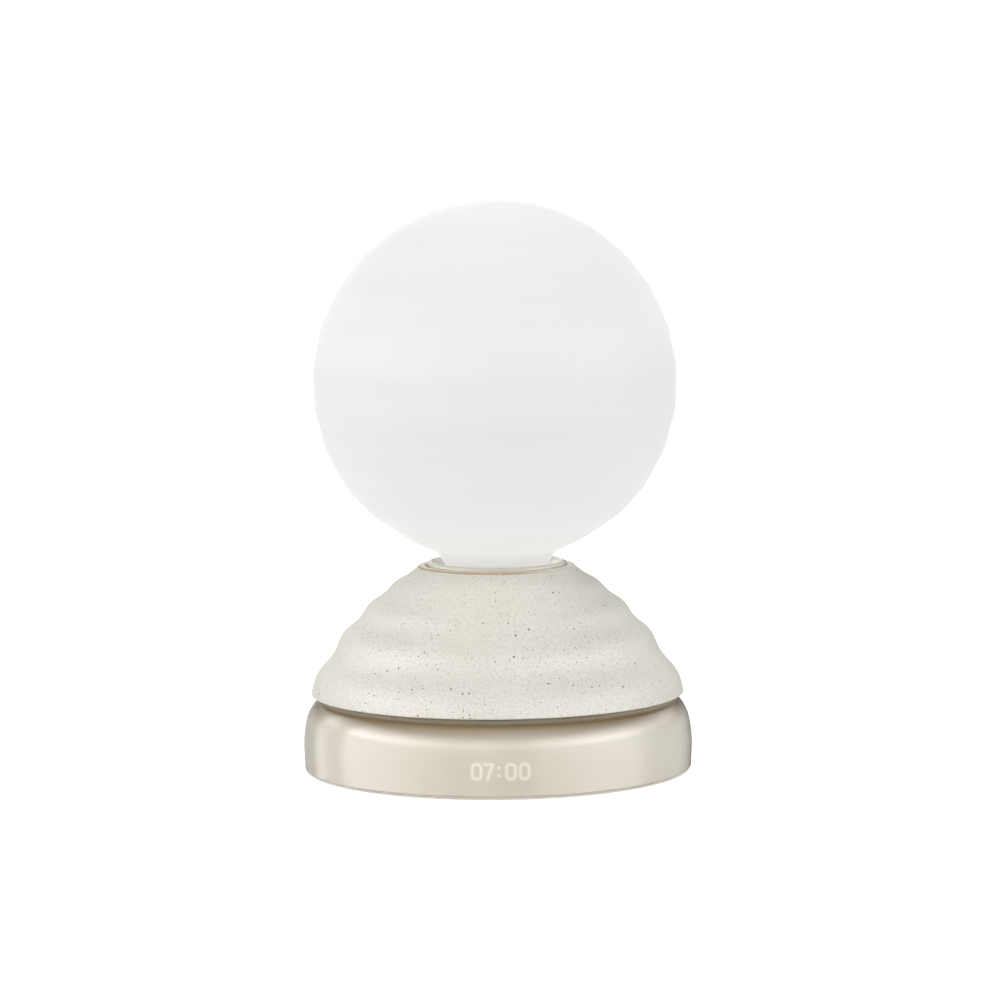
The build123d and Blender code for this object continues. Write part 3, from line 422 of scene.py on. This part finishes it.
def circuitBoard(name, colour, deeper):
    # glass-fibre board with solder mask: the copper tracks show as slightly lighter lines
    trackSpacing, trackHalf, trackEdge = 4.0, 0.04, 0.10  # spacing in mm, widths as shares of it
    material, tree, shader, place = startMaterial(name, colour, 0.35)
    tracks = addNode(tree, "ShaderNodeTexVoronoi", {"feature": "DISTANCE_TO_EDGE"},
                     {"Scale": 1000.0 / trackSpacing, "Randomness": 0.55}, {"Vector": place})
    thin = addNode(tree, "ShaderNodeMapRange",
                   values={"From Min": trackHalf, "From Max": trackEdge, "To Min": 1.0, "To Max": 0.0},
                   links={"Value": tracks.outputs["Distance"]})
    mixed = addNode(tree, "ShaderNodeMix", {"data_type": "RGBA"}, links={"Factor": thin})
    mixed.inputs[6].default_value = linearColour(deeper)
    mixed.inputs[7].default_value = linearColour(colour)
    tree.links.new(mixed.outputs[2], shader.inputs["Base Color"])
    return material


opal = opalGlassPaintedGlow()
stoneware = speckledStoneware()
shellGlossPaintedShade = shellAbsPaintedShade("ABS, polished and lacquered", "#D6CFC0", "#D3CBBB")
litGloss = litWall("lit ABS, polished and lacquered", "#D6CFC0", "#D3CBBB")
collarGloss = glossyAbs("collar ABS, polished", "#E6E0D2", "#E2DCCD", roughness=0.16)
coverAbs = mouldedPlastic("cover ABS, fine grain", "#DCD4C2", "#D8D0BC")
buttonAbs = mouldedPlastic("button ABS, satin", "#D6CFBF", "#D2CAB9", roughness=0.35)
blackAbs = mouldedPlastic("black ABS", "#1C1C1D", "#161617")
whiteAbs = mouldedPlastic("white ABS", "#E9E8E4", "#E3E2DE")
diffuserPc = mouldedPlastic("frosted polycarbonate", "#F3F3F0", "#EDEDEA", roughness=0.5)
footSilicone = softSilicone("foot silicone", "#B9B2A4", "#B0A99A")
greySilicone = softSilicone("grey silicone", "#9C9A94", "#93918B")
blackFoam = softSilicone("black foam", "#222222", "#191919")
blackRubber = softSilicone("black butyl rubber", "#1B1B1B", "#141414")
zincSteel = platedSteel("zinc-plated steel", "#B9B9B6", "#A9A9A6")
nickelSteel = platedSteel("nickel-plated steel", "#C4C0B8", "#B5B1A9", roughness=0.22)
castAluminium = platedSteel("die-cast aluminium", "#B4B5B7", "#A4A5A7", roughness=0.42)
copperWire = platedSteel("enamelled copper wire", "#B06B3C", "#9A5A30", roughness=0.3)
ferrite = mouldedPlastic("ferrite, pressed", "#2E2E30", "#262628", roughness=0.6)
blackPaint = mouldedPlastic("black paint on steel", "#1D1D1E", "#171718", roughness=0.4)
conePaper = mouldedPlastic("pressed paper", "#232323", "#1A1A1A", roughness=0.75, grain=0.8)
spiderCloth = mouldedPlastic("resin-dipped cloth", "#C09A56", "#AC8747", roughness=0.7, grain=0.6)
greenBoard = circuitBoard("solder mask, green", "#2B6B45", "#1D5535")
whiteBoard = circuitBoard("solder mask, white", "#EDEDE8", "#E2E2DC")
phosphor = mouldedPlastic("LED phosphor", "#F2DA84", "#EBD070", roughness=0.4)
filmPet = mouldedPlastic("diffuser film", "#EFE8D6", "#EAE2CE", roughness=0.5)
print("materials")


# the ball, its wall and the neck that drops into the collar, in mm
globeShape = {
    "centre": 149.25, "radius": 69.7, "wall": 2.5, "neck radius": 18.1, "neck top": 27.0, "neck end": 67.5,
    "rim": 79.1, "end rounding": 0.8,
    # the ball is drawn in a little from this latitude down, over so many degrees
    "flat": 1.0, "flat from": -40, "flat over": 15,
    # the neck's curve and its lining's, out from the neck and up from the ceramic's rim
    "neck curve": ((6.2, 6.0), (4.1, 3.9), (2.4, 1.4), (0.8, -1.3), (0, -4.0)),
    "lining curve": ((7.2, 8.1), (4.7, 5.5), (2.8, 2.7), (1.0, -0.3), (0, -4.0)),
    "ripple": 0.2, "ripples round": 27.3, "crest latitude": 5, "uneven": 0.45, "uneven spacing": 71.4286,
    "seed": 4.0, "fade points": 15, "turns": 256,
}


def ballPoint(latitude, radius):
    s = globeShape
    low = min(max((s["flat from"] - latitude) / s["flat over"], 0), 1)
    distance = radius - s["flat"] * low ** 2 * (3 - 2 * low)
    return (distance * math.cos(math.radians(latitude)),
            s["centre"] + distance * math.sin(math.radians(latitude)))


def rippleTree():
    # soft level ripples on the ball, a little uneven as blown glass is
    s = globeShape
    tree, given, result = makeTree("Level ripples", [
        ("Depth", "NodeSocketFloat"), ("Ripples round", "NodeSocketFloat"), ("Centre height", "NodeSocketFloat"),
        ("Unevenness", "NodeSocketFloat"), ("Seed", "NodeSocketFloat"), ("Material", "NodeSocketMaterial")])
    place = addNode(tree, "GeometryNodeInputPosition").outputs["Position"]
    centre = addNode(tree, "ShaderNodeCombineXYZ", links={"Z": given.outputs["Centre height"]})
    arm = addNode(tree, "ShaderNodeVectorMath", {"operation": "SUBTRACT"}, links={0: place, 1: centre})
    unit = addNode(tree, "ShaderNodeVectorMath", {"operation": "NORMALIZE"}, links={0: arm})
    parts = addNode(tree, "ShaderNodeSeparateXYZ", links={"Vector": unit})
    latitude = addNode(tree, "ShaderNodeMath", {"operation": "ARCSINE"}, links={0: parts.outputs["Z"]})
    # one crest lies a little above the ball's middle
    shifted = addNode(tree, "ShaderNodeMath", {"operation": "SUBTRACT"}, {1: math.radians(s["crest latitude"])},
                      {0: latitude})
    phase = addNode(tree, "ShaderNodeMath", {"operation": "MULTIPLY"},
                    links={0: shifted, 1: given.outputs["Ripples round"]})
    wave = addNode(tree, "ShaderNodeMath", {"operation": "COSINE"}, links={0: phase})
    fade = addNode(tree, "ShaderNodeMath", {"operation": "COSINE"}, links={0: latitude})
    level = addNode(tree, "ShaderNodeMath", {"operation": "MULTIPLY"}, links={0: wave, 1: fade})
    deep = addNode(tree, "ShaderNodeMath", {"operation": "MULTIPLY"}, links={0: level, 1: given.outputs["Depth"]})
    noise = addNode(tree, "ShaderNodeTexNoise", {"noise_dimensions": "4D"},
                    {"Scale": 1000.0 / s["uneven spacing"], "Detail": 1.0},
                    {"Vector": place, "W": given.outputs["Seed"]})
    spread = addNode(tree, "ShaderNodeMapRange", values={"From Min": 0.3, "From Max": 0.7, "To Min": -1.0},
                     links={"Value": noise})
    much = addNode(tree, "ShaderNodeMath", {"operation": "MULTIPLY_ADD"}, {2: 1.0},
                   {0: spread, 1: given.outputs["Unevenness"]})
    offset = addNode(tree, "ShaderNodeMath", {"operation": "MULTIPLY"}, links={0: deep, 1: much})
    # only the outside of the ball is marked, so the lining stays plain
    mark = addNode(tree, "GeometryNodeInputNamedAttribute", {"data_type": "FLOAT"}, {"Name": "along"})
    marked = addNode(tree, "ShaderNodeMath", {"operation": "MAXIMUM"}, {1: 0.0}, {0: mark.outputs["Attribute"]})
    push = addNode(tree, "ShaderNodeMath", {"operation": "MULTIPLY"}, links={0: offset, 1: marked})
    move = addNode(tree, "ShaderNodeVectorMath", {"operation": "SCALE"}, links={0: unit, "Scale": push})
    rippled = addNode(tree, "GeometryNodeSetPosition", links={"Geometry": given.outputs["Geometry"], "Offset": move})
    finishTree(tree, given, result, rippled.outputs["Geometry"])
    return tree


def neckCurve(ball, radius, curve, samples):
    # runs on from the end of the ball down to the straight neck
    start = (ball[-1][0] - ball[-2][0], ball[-1][1] - ball[-2][1])
    points = [(radius + out, globeShape["rim"] + up) for out, up in curve]
    return smoothCurve([ball[-1]] + points, start, (0, -1), samples)


def makeGlobe():
    s = globeShape
    last = -math.degrees(math.acos(s["neck top"] / (s["radius"] - s["flat"])))
    outer, inner, end = s["neck radius"], s["neck radius"] - s["wall"], s["neck end"]
    outside = [ballPoint(90 + (last - 90) * k / 120, s["radius"]) for k in range(121)]
    inside = [ballPoint(90 + (last - 90) * k / 40, s["radius"] - s["wall"]) for k in range(41)]
    neck = neckCurve(outside, outer, s["neck curve"], 40)
    neckLining = neckCurve(inside, inner, s["lining curve"], 24)
    outerFoot = roundedCorner((outer, end), (outer, end + 3), (inner, end), s["end rounding"])
    innerFoot = roundedCorner((inner, end), (outer, end), (inner, end + 3), s["end rounding"])
    outline = outside + neck[1:] + outerFoot + innerFoot + neckLining[::-1] + inside[-2::-1]
    marks = [1.0] * len(outside) + [0.0] * (len(outline) - len(outside))
    # the ripples fade where the ball runs into its neck
    for k in range(1, s["fade points"] + 1):
        marks[len(outside) - k] = (k - 1) / s["fade points"]
    globe = turnedPiece("opal_globe", outline, s["turns"], marks, opal)
    runTree(globe, rippleTree(), {
        "Depth": mm(s["ripple"]), "Ripples round": s["ripples round"], "Centre height": mm(s["centre"]),
        "Unevenness": s["uneven"], "Seed": s["seed"], "Material": opal})
    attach(globe, "globe")
    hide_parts("glass_globe")


makeGlobe()
print("globe")


# the ceramic's arc from rim to foot, its wall and its thrown ripples, in mm
domeShape = {
    "rim radius": 30.4, "rim top": 79.1, "rim rounding": 0.95, "foot radius": 72.04, "bottom": 29.6,
    "foot rounding": 0.5, "bulge": 4.95, "wall": 5.5, "seat radius": 27.3, "seat": 74.9,
    "hole": 22.6, "ledge": 5.0, "foot inner": 61.04, "inner rounding": 0.6, "lip rounding": 0.5,
    # the foot's last points, in from its radius and up from its bottom
    "foot lift": 0.25, "foot tuck": 0.02, "foot turn": (0.32, 0.07),
    # the ripples: half their height at both ends, where the first one stands, how many there are, how they spread
    "depth at rim": 0.2, "depth at foot": 0.9, "phase": 0.12, "turns": 4.16, "stretch": 1.67,
}


def domeArc():
    s = domeShape
    start = (s["rim radius"], s["rim top"] - s["rim rounding"])
    end = (s["foot radius"], s["bottom"] + s["foot rounding"])
    run, drop = end[0] - start[0], start[1] - end[1]
    chord = math.hypot(run, drop)
    radius = (chord ** 2 / 4 + s["bulge"] ** 2) / (2 * s["bulge"])
    inward = radius - s["bulge"]
    centre = ((start[0] + end[0]) / 2 - inward * drop / chord, (start[1] + end[1]) / 2 - inward * run / chord)
    first = math.atan2(start[1] - centre[1], start[0] - centre[0])
    last = math.atan2(end[1] - centre[1], end[0] - centre[0])
    return centre, radius, first, last


def domeRippleTree():
    # ripples thrown into the clay: they grow and spread from the rim to the foot
    tree, given, result = makeTree("Thrown ripples", [
        ("Depth at rim", "NodeSocketFloat"), ("Depth at foot", "NodeSocketFloat"), ("Phase", "NodeSocketFloat"),
        ("Turns", "NodeSocketFloat"), ("Stretch", "NodeSocketFloat"), ("Arc radius", "NodeSocketFloat"),
        ("Arc height", "NodeSocketFloat"), ("Material", "NodeSocketMaterial")])
    mark = addNode(tree, "GeometryNodeInputNamedAttribute", {"data_type": "FLOAT"}, {"Name": "along"})
    t = mark.outputs["Attribute"]
    rise = addNode(tree, "ShaderNodeMath", {"operation": "SUBTRACT"},
                   links={0: given.outputs["Depth at foot"], 1: given.outputs["Depth at rim"]})
    depth = addNode(tree, "ShaderNodeMath", {"operation": "MULTIPLY_ADD"},
                    links={0: t, 1: rise, 2: given.outputs["Depth at rim"]})
    whole = addNode(tree, "ShaderNodeMath", {"operation": "ADD"},
                    links={0: given.outputs["Turns"], 1: given.outputs["Stretch"]})
    first = addNode(tree, "ShaderNodeMath", {"operation": "MULTIPLY_ADD"},
                    links={0: whole, 1: t, 2: given.outputs["Phase"]})
    square = addNode(tree, "ShaderNodeMath", {"operation": "MULTIPLY"}, links={0: t, 1: t})
    second = addNode(tree, "ShaderNodeMath", {"operation": "MULTIPLY"}, links={0: square, 1: given.outputs["Stretch"]})
    turn = addNode(tree, "ShaderNodeMath", {"operation": "SUBTRACT"}, links={0: first, 1: second})
    angle = addNode(tree, "ShaderNodeMath", {"operation": "MULTIPLY"}, {1: 2 * math.pi}, {0: turn})
    wave = addNode(tree, "ShaderNodeMath", {"operation": "COSINE"}, links={0: angle})
    push = addNode(tree, "ShaderNodeMath", {"operation": "MULTIPLY"}, links={0: wave, 1: depth})
    # the ripple stands square on the arc of the dome's meridian
    place = addNode(tree, "GeometryNodeInputPosition").outputs["Position"]
    parts = addNode(tree, "ShaderNodeSeparateXYZ", links={"Vector": place})
    flat = addNode(tree, "ShaderNodeCombineXYZ", links={"X": parts.outputs["X"], "Y": parts.outputs["Y"]})
    out = addNode(tree, "ShaderNodeVectorMath", {"operation": "NORMALIZE"}, links={0: flat})
    ring = addNode(tree, "ShaderNodeVectorMath", {"operation": "SCALE"},
                   links={0: out, "Scale": given.outputs["Arc radius"]})
    lift = addNode(tree, "ShaderNodeCombineXYZ", links={"Z": given.outputs["Arc height"]})
    centre = addNode(tree, "ShaderNodeVectorMath", {"operation": "ADD"}, links={0: ring, 1: lift})
    arm = addNode(tree, "ShaderNodeVectorMath", {"operation": "SUBTRACT"}, links={0: place, 1: centre})
    unit = addNode(tree, "ShaderNodeVectorMath", {"operation": "NORMALIZE"}, links={0: arm})
    move = addNode(tree, "ShaderNodeVectorMath", {"operation": "SCALE"}, links={0: unit, "Scale": push})
    glazed = addNode(tree, "FunctionNodeCompare", {"data_type": "FLOAT", "operation": "GREATER_EQUAL"},
                     {1: 0.0}, {0: t})
    thrown = addNode(tree, "GeometryNodeSetPosition",
                     links={"Geometry": given.outputs["Geometry"], "Selection": glazed, "Offset": move})
    finishTree(tree, given, result, thrown.outputs["Geometry"])
    return tree


def makeDome():
    s = domeShape
    centre, radius, first, last = domeArc()
    count = 150
    angles = [first + (last - first) * k / count for k in range(count + 1)]
    outside = [(centre[0] + radius * math.cos(a), centre[1] + radius * math.sin(a)) for a in angles]
    endWave = s["depth at foot"] * math.cos(2 * math.pi * (s["phase"] + s["turns"]))
    foot = [(outside[-1][0] + endWave * math.cos(last) - s["foot tuck"], s["bottom"] + s["foot lift"]),
            (s["foot radius"] - s["foot turn"][0], s["bottom"] + s["foot turn"][1]),
            (s["foot radius"] - s["foot rounding"], s["bottom"])]
    footInner = roundedCorner((s["foot inner"], s["bottom"]), (s["foot inner"] + 4, s["bottom"]),
                              (s["foot inner"], s["bottom"] + 4), s["inner rounding"])
    hollowFoot = (s["foot inner"], s["bottom"] + s["wall"])
    hollowTop = (s["hole"], s["seat"] - s["ledge"])
    middle = np.array([(hollowTop[0] + hollowFoot[0]) / 2, (hollowTop[1] + hollowFoot[1]) / 2])
    away = middle - np.array(centre)
    top = np.array(centre) + away / np.linalg.norm(away) * (radius - s["wall"])
    lining = smoothCurve([hollowFoot, tuple(top), hollowTop],
                         (hollowFoot[1] - 60, 40), (hollowTop[0] - top[0] - 8, 12), 40)
    seatCorner = [(s["hole"], s["seat"]), (s["seat radius"], s["seat"])]
    lip = roundedCorner((s["seat radius"], s["rim top"]), (s["seat radius"], s["seat"]),
                        (s["rim radius"], s["rim top"]), s["lip rounding"])
    rim = [(s["rim radius"] - s["rim rounding"] * (1 - math.sin(a)),
            s["rim top"] - s["rim rounding"] * (1 - math.cos(a)))
           for a in [math.radians(d) for d in (0, 18, 36, 54, 72)]]
    outline = outside + foot + footInner + [hollowFoot] + lining[1:-1] + [hollowTop] + seatCorner + lip + rim
    marks = [k / count for k in range(count + 1)] + [-1.0] * (len(outline) - count - 1)
    dome = turnedPiece("stoneware_dome", outline, 256, marks, stoneware)
    runTree(dome, domeRippleTree(), {
        "Depth at rim": mm(s["depth at rim"]), "Depth at foot": mm(s["depth at foot"]), "Phase": s["phase"],
        "Turns": s["turns"], "Stretch": s["stretch"], "Arc radius": mm(centre[0]), "Arc height": mm(centre[1]),
        "Material": stoneware})
    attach(dome, "base")
    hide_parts("ceramic_dome")


makeDome()
print("dome")


# the time that glows through the front wall, in mm
digits = {
    # places of the figures across the wall, and the two strokes of a seven from its own middle
    "height": 10.8, "half height": 2.75, "half width": 1.6, "corner": 1.5,
    "zeros": (-7.85, 4.77, 9.81), "sevens": (-3.37,), "dots": (0.35,), "dot rise": 1.45,
    "seven": (((-1.5, 2.75), (1.5, 2.75)), ((1.5, 2.75), (-0.5, -2.75))),
    "bright within": 0.22, "dark beyond": 0.95,
    # the skin stands proud by this much, and its outermost rows dip into the wall
    "proud": 0.03, "edge rows": 3, "edge start": -0.12, "edge rise": 0.05,
    "patch": (-12.2, 14.2, 6.0, 15.6), "step": 0.12,
    # side wall behind the digits, as (radius, height)
    "wall": [(74.7, 1.5), (75.0, 12.2), (74.35, 17.7), (73.3, 21.8), (71.1, 25.6), (64.5, 28.7)],
}


def strokeGap(x, z):
    # distance in mm from a point of the wall to the middle of the nearest stroke
    d = digits
    z = z - d["height"]
    gaps = []
    for middle in d["zeros"]:
        outX = abs(x - middle) - d["half width"] + d["corner"]
        outZ = abs(z) - d["half height"] + d["corner"]
        outer = math.hypot(max(outX, 0.0), max(outZ, 0.0)) + min(max(outX, outZ), 0.0) - d["corner"]
        gaps.append(abs(outer))
    for middle in d["sevens"]:
        for start, end in d["seven"]:
            along = (end[0] - start[0], end[1] - start[1])
            outX, outZ = x - middle - start[0], z - start[1]
            reach = (outX * along[0] + outZ * along[1]) / (along[0] ** 2 + along[1] ** 2)
            reach = min(max(reach, 0.0), 1.0)
            gaps.append(math.hypot(outX - reach * along[0], outZ - reach * along[1]))
    for middle in d["dots"]:
        gaps += [math.hypot(x - middle, z - d["dot rise"]), math.hypot(x - middle, z + d["dot rise"])]
    return min(gaps)


def makeDigits():
    # the time glows through the wall: a skin that follows it, brightest over the lit strokes
    d = digits
    left, right, low, high = d["patch"]
    columns, rows = int((right - left) / d["step"]), int((high - low) / d["step"])
    line = smoothCurve(d["wall"], (0.04, 1), (-1, 0), 600)
    heights, radii = [p[1] for p in line], [p[0] for p in line]
    verts, glow, faces = [], [], []
    for j in range(rows + 1):
        z = low + (high - low) * j / rows
        radius = float(np.interp(z, heights, radii))
        for i in range(columns + 1):
            x = left + (right - left) * i / columns
            rim = min(i, columns - i, j, rows - j)
            out = radius + (d["proud"] if rim >= d["edge rows"] else d["edge start"] + d["edge rise"] * rim)
            verts.append((mm(x), -mm(math.sqrt(out ** 2 - x ** 2)), mm(z)))
            bright = (d["dark beyond"] - strokeGap(x, z)) / (d["dark beyond"] - d["bright within"])
            bright = min(max(bright, 0.0), 1.0)
            glow.append(bright * bright * (3 - 2 * bright))
    for j in range(rows):
        for i in range(columns):
            a = j * (columns + 1) + i
            faces.append((a, a + 1, a + columns + 2, a + columns + 1))
    skin = newPiece("time_glow", verts, faces, litGloss, smooth=True)
    skin.data.attributes.new("glow", "FLOAT", "POINT").data.foreach_set("value", glow)
    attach(skin, "base")


makeDigits()
print("digits")


# pieces that keep their own shape, by finish
finishes = {
    shellGlossPaintedShade: ["base_shell"],
    collarGloss: ["collar_ring"],
    coverAbs: ["base_plate"],
    buttonAbs: ["light_button", "alarm_button", "minus_button", "plus_button"],
    blackAbs: ["light_plunger", "alarm_plunger", "minus_plunger", "plus_plunger", "cell_holder", "display_mask",
               "display_header", "socket_tongue", "board_chips"],
    whiteAbs: ["light_column", "light_header", "light_plug", "light_lead"],
    diffuserPc: ["light_diffuser"],
    footSilicone: ["foot_ring"],
    greySilicone: ["dome_pads", "neck_seat", "collar_gasket"],
    blackFoam: ["speaker_gasket"],
    zincSteel: ["ballast_plate", "base_plate_screws", "board_screws", "speaker_screws", "column_screws",
                "collar_screws", "heat_sink_screws", "light_board_screws", "speaker_plate", "speaker_yoke"],
    nickelSteel: ["power_socket", "switch_housings", "coin_cell"],
    castAluminium: ["heat_sink", "board_capacitors"],
    copperWire: ["voice_coil"],
    ferrite: ["speaker_magnet"],
    blackPaint: ["speaker_frame"],
    conePaper: ["speaker_cone", "dust_cap"],
    greenBoard: ["main_board", "display_board"],
    whiteBoard: ["light_board"],
    phosphor: ["light_leds", "display_leds"],
    filmPet: ["display_diffuser"],
}
for material, names in finishes.items():
    for name in names:
        paint(name, material)
print("finishes")


softRings = {
    # CAD node: name, finish, slot, then the heights in mm where it is held and where it moves with the cone
    "speaker_surround": ("butyl_surround", blackRubber, "black_rubber", 24.7, 24.1),
    "speaker_spider": ("cloth_spider", spiderCloth, "woven_cloth", 17.95, 18.5),
}


def makeSoftRing(node, name, material, slotName, held, moved):
    # a copy of the CAD node's mesh, with doubled points merged and the finish on it, stands in for the node
    mesh = nodes[node].data.copy()
    mesh.name = name
    tidy = bmesh.new()
    tidy.from_mesh(mesh)
    bmesh.ops.remove_doubles(tidy, verts=tidy.verts, dist=1e-6)
    tidy.to_mesh(mesh)
    tidy.free()
    mesh.materials.clear()
    mesh.materials.append(material)
    ring = bpy.data.objects.new(name, mesh)
    bpy.context.collection.objects.link(ring)
    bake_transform(ring)
    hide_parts(node)


for node, facts in softRings.items():
    makeSoftRing(node, *facts)
print("soft rings")


studio = {
    "floor size": 12.0, "sky": 0.16, "camera": (0.0016, -1.4, 0.237), "aim": (0.0016, 0.0, 0.1039),
    "lens": 131.5, "roll": -0.5,
    # soft lamps: name, place and side in metres, power in watts, all turned to the same point
    "softboxes": [("top softbox", (0.0, -0.2, 1.75), 1.2, 4.0), ("front softbox", (0.0, -1.27, 1.37), 1.0, 11.8),
                  ("left softbox", (-1.1, -0.64, 1.37), 1.0, 7.0), ("right softbox", (1.1, -0.64, 1.37), 1.0, 3.8),
                  ("rear softbox", (0.0, 1.16, 1.48), 1.0, 11.0)],
    "lit point": (0.0, 0.0, 0.1),
    # what the paper adds for the camera, near the object and far off, and the distances in metres
    "paper near": 0.5, "paper far": 0.95, "near": 0.3, "far": 1.1,
    # the light tent that shines in the gloss: radius, bottom and top in metres
    "tent": (1.0, -0.6, 0.9),
    # its brightness round the compass in degrees, 0 towards the camera, right positive
    "walls": [(-180, 0.9), (-170, 0.9), (-160, 0.5), (-137, 0.7), (-127, 2.4), (-113, 2.2), (-105, 2.3),
              (-98, 4.7), (-91, 5.5), (-65, 5.5), (-54, 4.7), (-44, 4.0), (-34, 3.6), (-25, 2.5), (-12, 3.0),
              (0, 2.2), (11, 1.7), (18, 2.1), (24, 3.2), (38, 4.0), (52, 5.1), (63, 5.5), (80, 5.3), (88, 4.6),
              (94, 3.2), (101, 2.6), (110, 2.0), (129, 1.5), (143, 0.7), (154, 0.3), (170, 0.15), (180, 0.9)],
    # and up its height in metres, as a factor
    "heights": [(-0.6, 1.0), (0.2, 1.0), (0.32, 1.75), (0.44, 1.75), (0.58, 1.1), (0.9, 0.15)],
    "roof": 0.05,
}


def addFloor():
    half = studio["floor size"] / 2
    material, tree, shader, place = startMaterial("white paper sweep", "#F4F4F4", 0.9)
    floor = newPiece("studio_floor", [(-half, -half, 0), (half, -half, 0), (half, half, 0), (-half, half, 0)],
                     [(0, 1, 2, 3)], material)
    path = addNode(tree, "ShaderNodeLightPath")
    # to the camera the paper is white all over, and near the object it keeps the shadow
    far = addNode(tree, "ShaderNodeVectorMath", {"operation": "LENGTH"}, links={0: place})
    rise = addNode(tree, "ShaderNodeMapRange", {"interpolation_type": "SMOOTHSTEP"},
                   {"From Min": studio["near"], "From Max": studio["far"], "To Min": studio["paper near"],
                    "To Max": studio["paper far"]}, {"Value": far.outputs["Value"]})
    glow = addNode(tree, "ShaderNodeEmission", links={"Strength": rise})
    dark = addNode(tree, "ShaderNodeEmission", values={"Strength": 0.0})
    chosen = addNode(tree, "ShaderNodeMixShader", links={0: path.outputs["Is Camera Ray"], 1: dark, 2: glow})
    total = addNode(tree, "ShaderNodeAddShader", links={0: shader.outputs["BSDF"], 1: chosen})
    tree.links.new(total.outputs["Shader"], tree.nodes["Material Output"].inputs["Surface"])
    # the gloss shows the tent that runs on below the sweep
    floor.visible_glossy = False


def addWorld():
    world = bpy.data.worlds.new("studio")
    bpy.context.scene.world = world
    world.use_nodes = True
    tree = world.node_tree
    background = tree.nodes["Background"]
    background.inputs["Color"].default_value = (1.0, 1.0, 1.0, 1.0)
    path = addNode(tree, "ShaderNodeLightPath")
    first = addNode(tree, "ShaderNodeMath", {"operation": "MAXIMUM"},
                    links={0: path.outputs["Is Camera Ray"], 1: path.outputs["Is Glossy Ray"]})
    seen = addNode(tree, "ShaderNodeMath", {"operation": "MAXIMUM"},
                   links={0: first, 1: path.outputs["Is Transmission Ray"]})
    level = addNode(tree, "ShaderNodeMapRange", values={"To Min": studio["sky"], "To Max": 1.0}, links={"Value": seen})
    tree.links.new(level.outputs["Result"], background.inputs["Strength"])


def addRamp(tree, source, stops, low, high):
    # a curve of brightness through (place, value) stops
    share = addNode(tree, "ShaderNodeMapRange", values={"From Min": low, "From Max": high}, links={"Value": source})
    ramp = addNode(tree, "ShaderNodeValToRGB", links={"Fac": share})
    top = max(value for place, value in stops)
    dots = ramp.color_ramp.elements
    while len(dots) < len(stops):
        dots.new(0.5)
    for dot, (place, value) in zip(dots, stops):
        dot.position = (place - low) / (high - low)
    for dot, (place, value) in zip(dots, stops):
        dot.color = (value / top, value / top, value / top, 1.0)
    return addNode(tree, "ShaderNodeMath", {"operation": "MULTIPLY"}, {1: top}, {0: ramp.outputs["Color"]})


def emptyMaterial(name):
    material = bpy.data.materials.new(name)
    material.use_nodes = True
    material.node_tree.nodes.clear()
    return material, material.node_tree


def addTent():
    # bright walls and dark flags round the product, seen only in its gloss
    radius, bottom, top = studio["tent"]
    turns = 96
    verts = []
    for height in (bottom, top):
        verts += [(radius * math.cos(2 * math.pi * k / turns), radius * math.sin(2 * math.pi * k / turns), height)
                  for k in range(turns)]
    faces = [(k, (k + 1) % turns, turns + (k + 1) % turns, turns + k) for k in range(turns)]
    faces.append(tuple(range(turns, 2 * turns)))
    wallCloth, tree = emptyMaterial("tent cloth, lit from behind")
    place = addNode(tree, "ShaderNodeTexCoord").outputs["Object"]
    apart = addNode(tree, "ShaderNodeSeparateXYZ", links={"Vector": place})
    front = addNode(tree, "ShaderNodeMath", {"operation": "MULTIPLY"}, {1: -1.0}, {0: apart.outputs["Y"]})
    turn = addNode(tree, "ShaderNodeMath", {"operation": "ARCTAN2"}, links={0: apart.outputs["X"], 1: front})
    walls = addRamp(tree, turn.outputs["Value"], [(math.radians(a), v) for a, v in studio["walls"]],
                    -math.pi, math.pi)
    level = addRamp(tree, apart.outputs["Z"], studio["heights"], bottom, top)
    both = addNode(tree, "ShaderNodeMath", {"operation": "MULTIPLY"}, links={0: walls, 1: level})
    cloth = addNode(tree, "ShaderNodeEmission", links={"Strength": both})
    addNode(tree, "ShaderNodeOutputMaterial", links={"Surface": cloth})
    roofCloth, roofTree = emptyMaterial("tent roof, black cloth")
    shade = addNode(roofTree, "ShaderNodeEmission", values={"Strength": studio["roof"]})
    addNode(roofTree, "ShaderNodeOutputMaterial", links={"Surface": shade})
    tent = newPiece("light_tent", verts, faces, wallCloth)
    tent.data.materials.append(roofCloth)
    tent.data.polygons[turns].material_index = 1
    for ray in ("camera", "diffuse", "transmission", "shadow"):
        setattr(tent, "visible_" + ray, False)


def addSoftbox(name, place, side, power):
    lamp = bpy.data.lights.new(name, "AREA")
    lamp.shape = "RECTANGLE"
    lamp.size = lamp.size_y = side
    lamp.energy = power
    box = bpy.data.objects.new(name, lamp)
    box.location = place
    box.rotation_euler = (Vector(studio["lit point"]) - Vector(place)).to_track_quat("-Z", "Y").to_euler()
    box.visible_camera = False
    box.visible_glossy = False
    bpy.context.collection.objects.link(box)


def addCamera():
    lens = bpy.data.cameras.new("camera")
    lens.lens = studio["lens"]
    lens.sensor_width = 36.0
    lens.clip_start = 0.01
    camera = bpy.data.objects.new("camera", lens)
    camera.location = studio["camera"]
    view = (Vector(studio["aim"]) - Vector(studio["camera"])).to_track_quat("-Z", "Y")
    camera.rotation_euler = (view @ Quaternion((0, 0, 1), math.radians(studio["roll"]))).to_euler()
    bpy.context.collection.objects.link(camera)
    bpy.context.scene.camera = camera


addFloor()
addWorld()
addTent()
for lampFacts in studio["softboxes"]:
    addSoftbox(*lampFacts)
addCamera()
bpy.context.scene.view_settings.view_transform = "Standard"
print("studio")
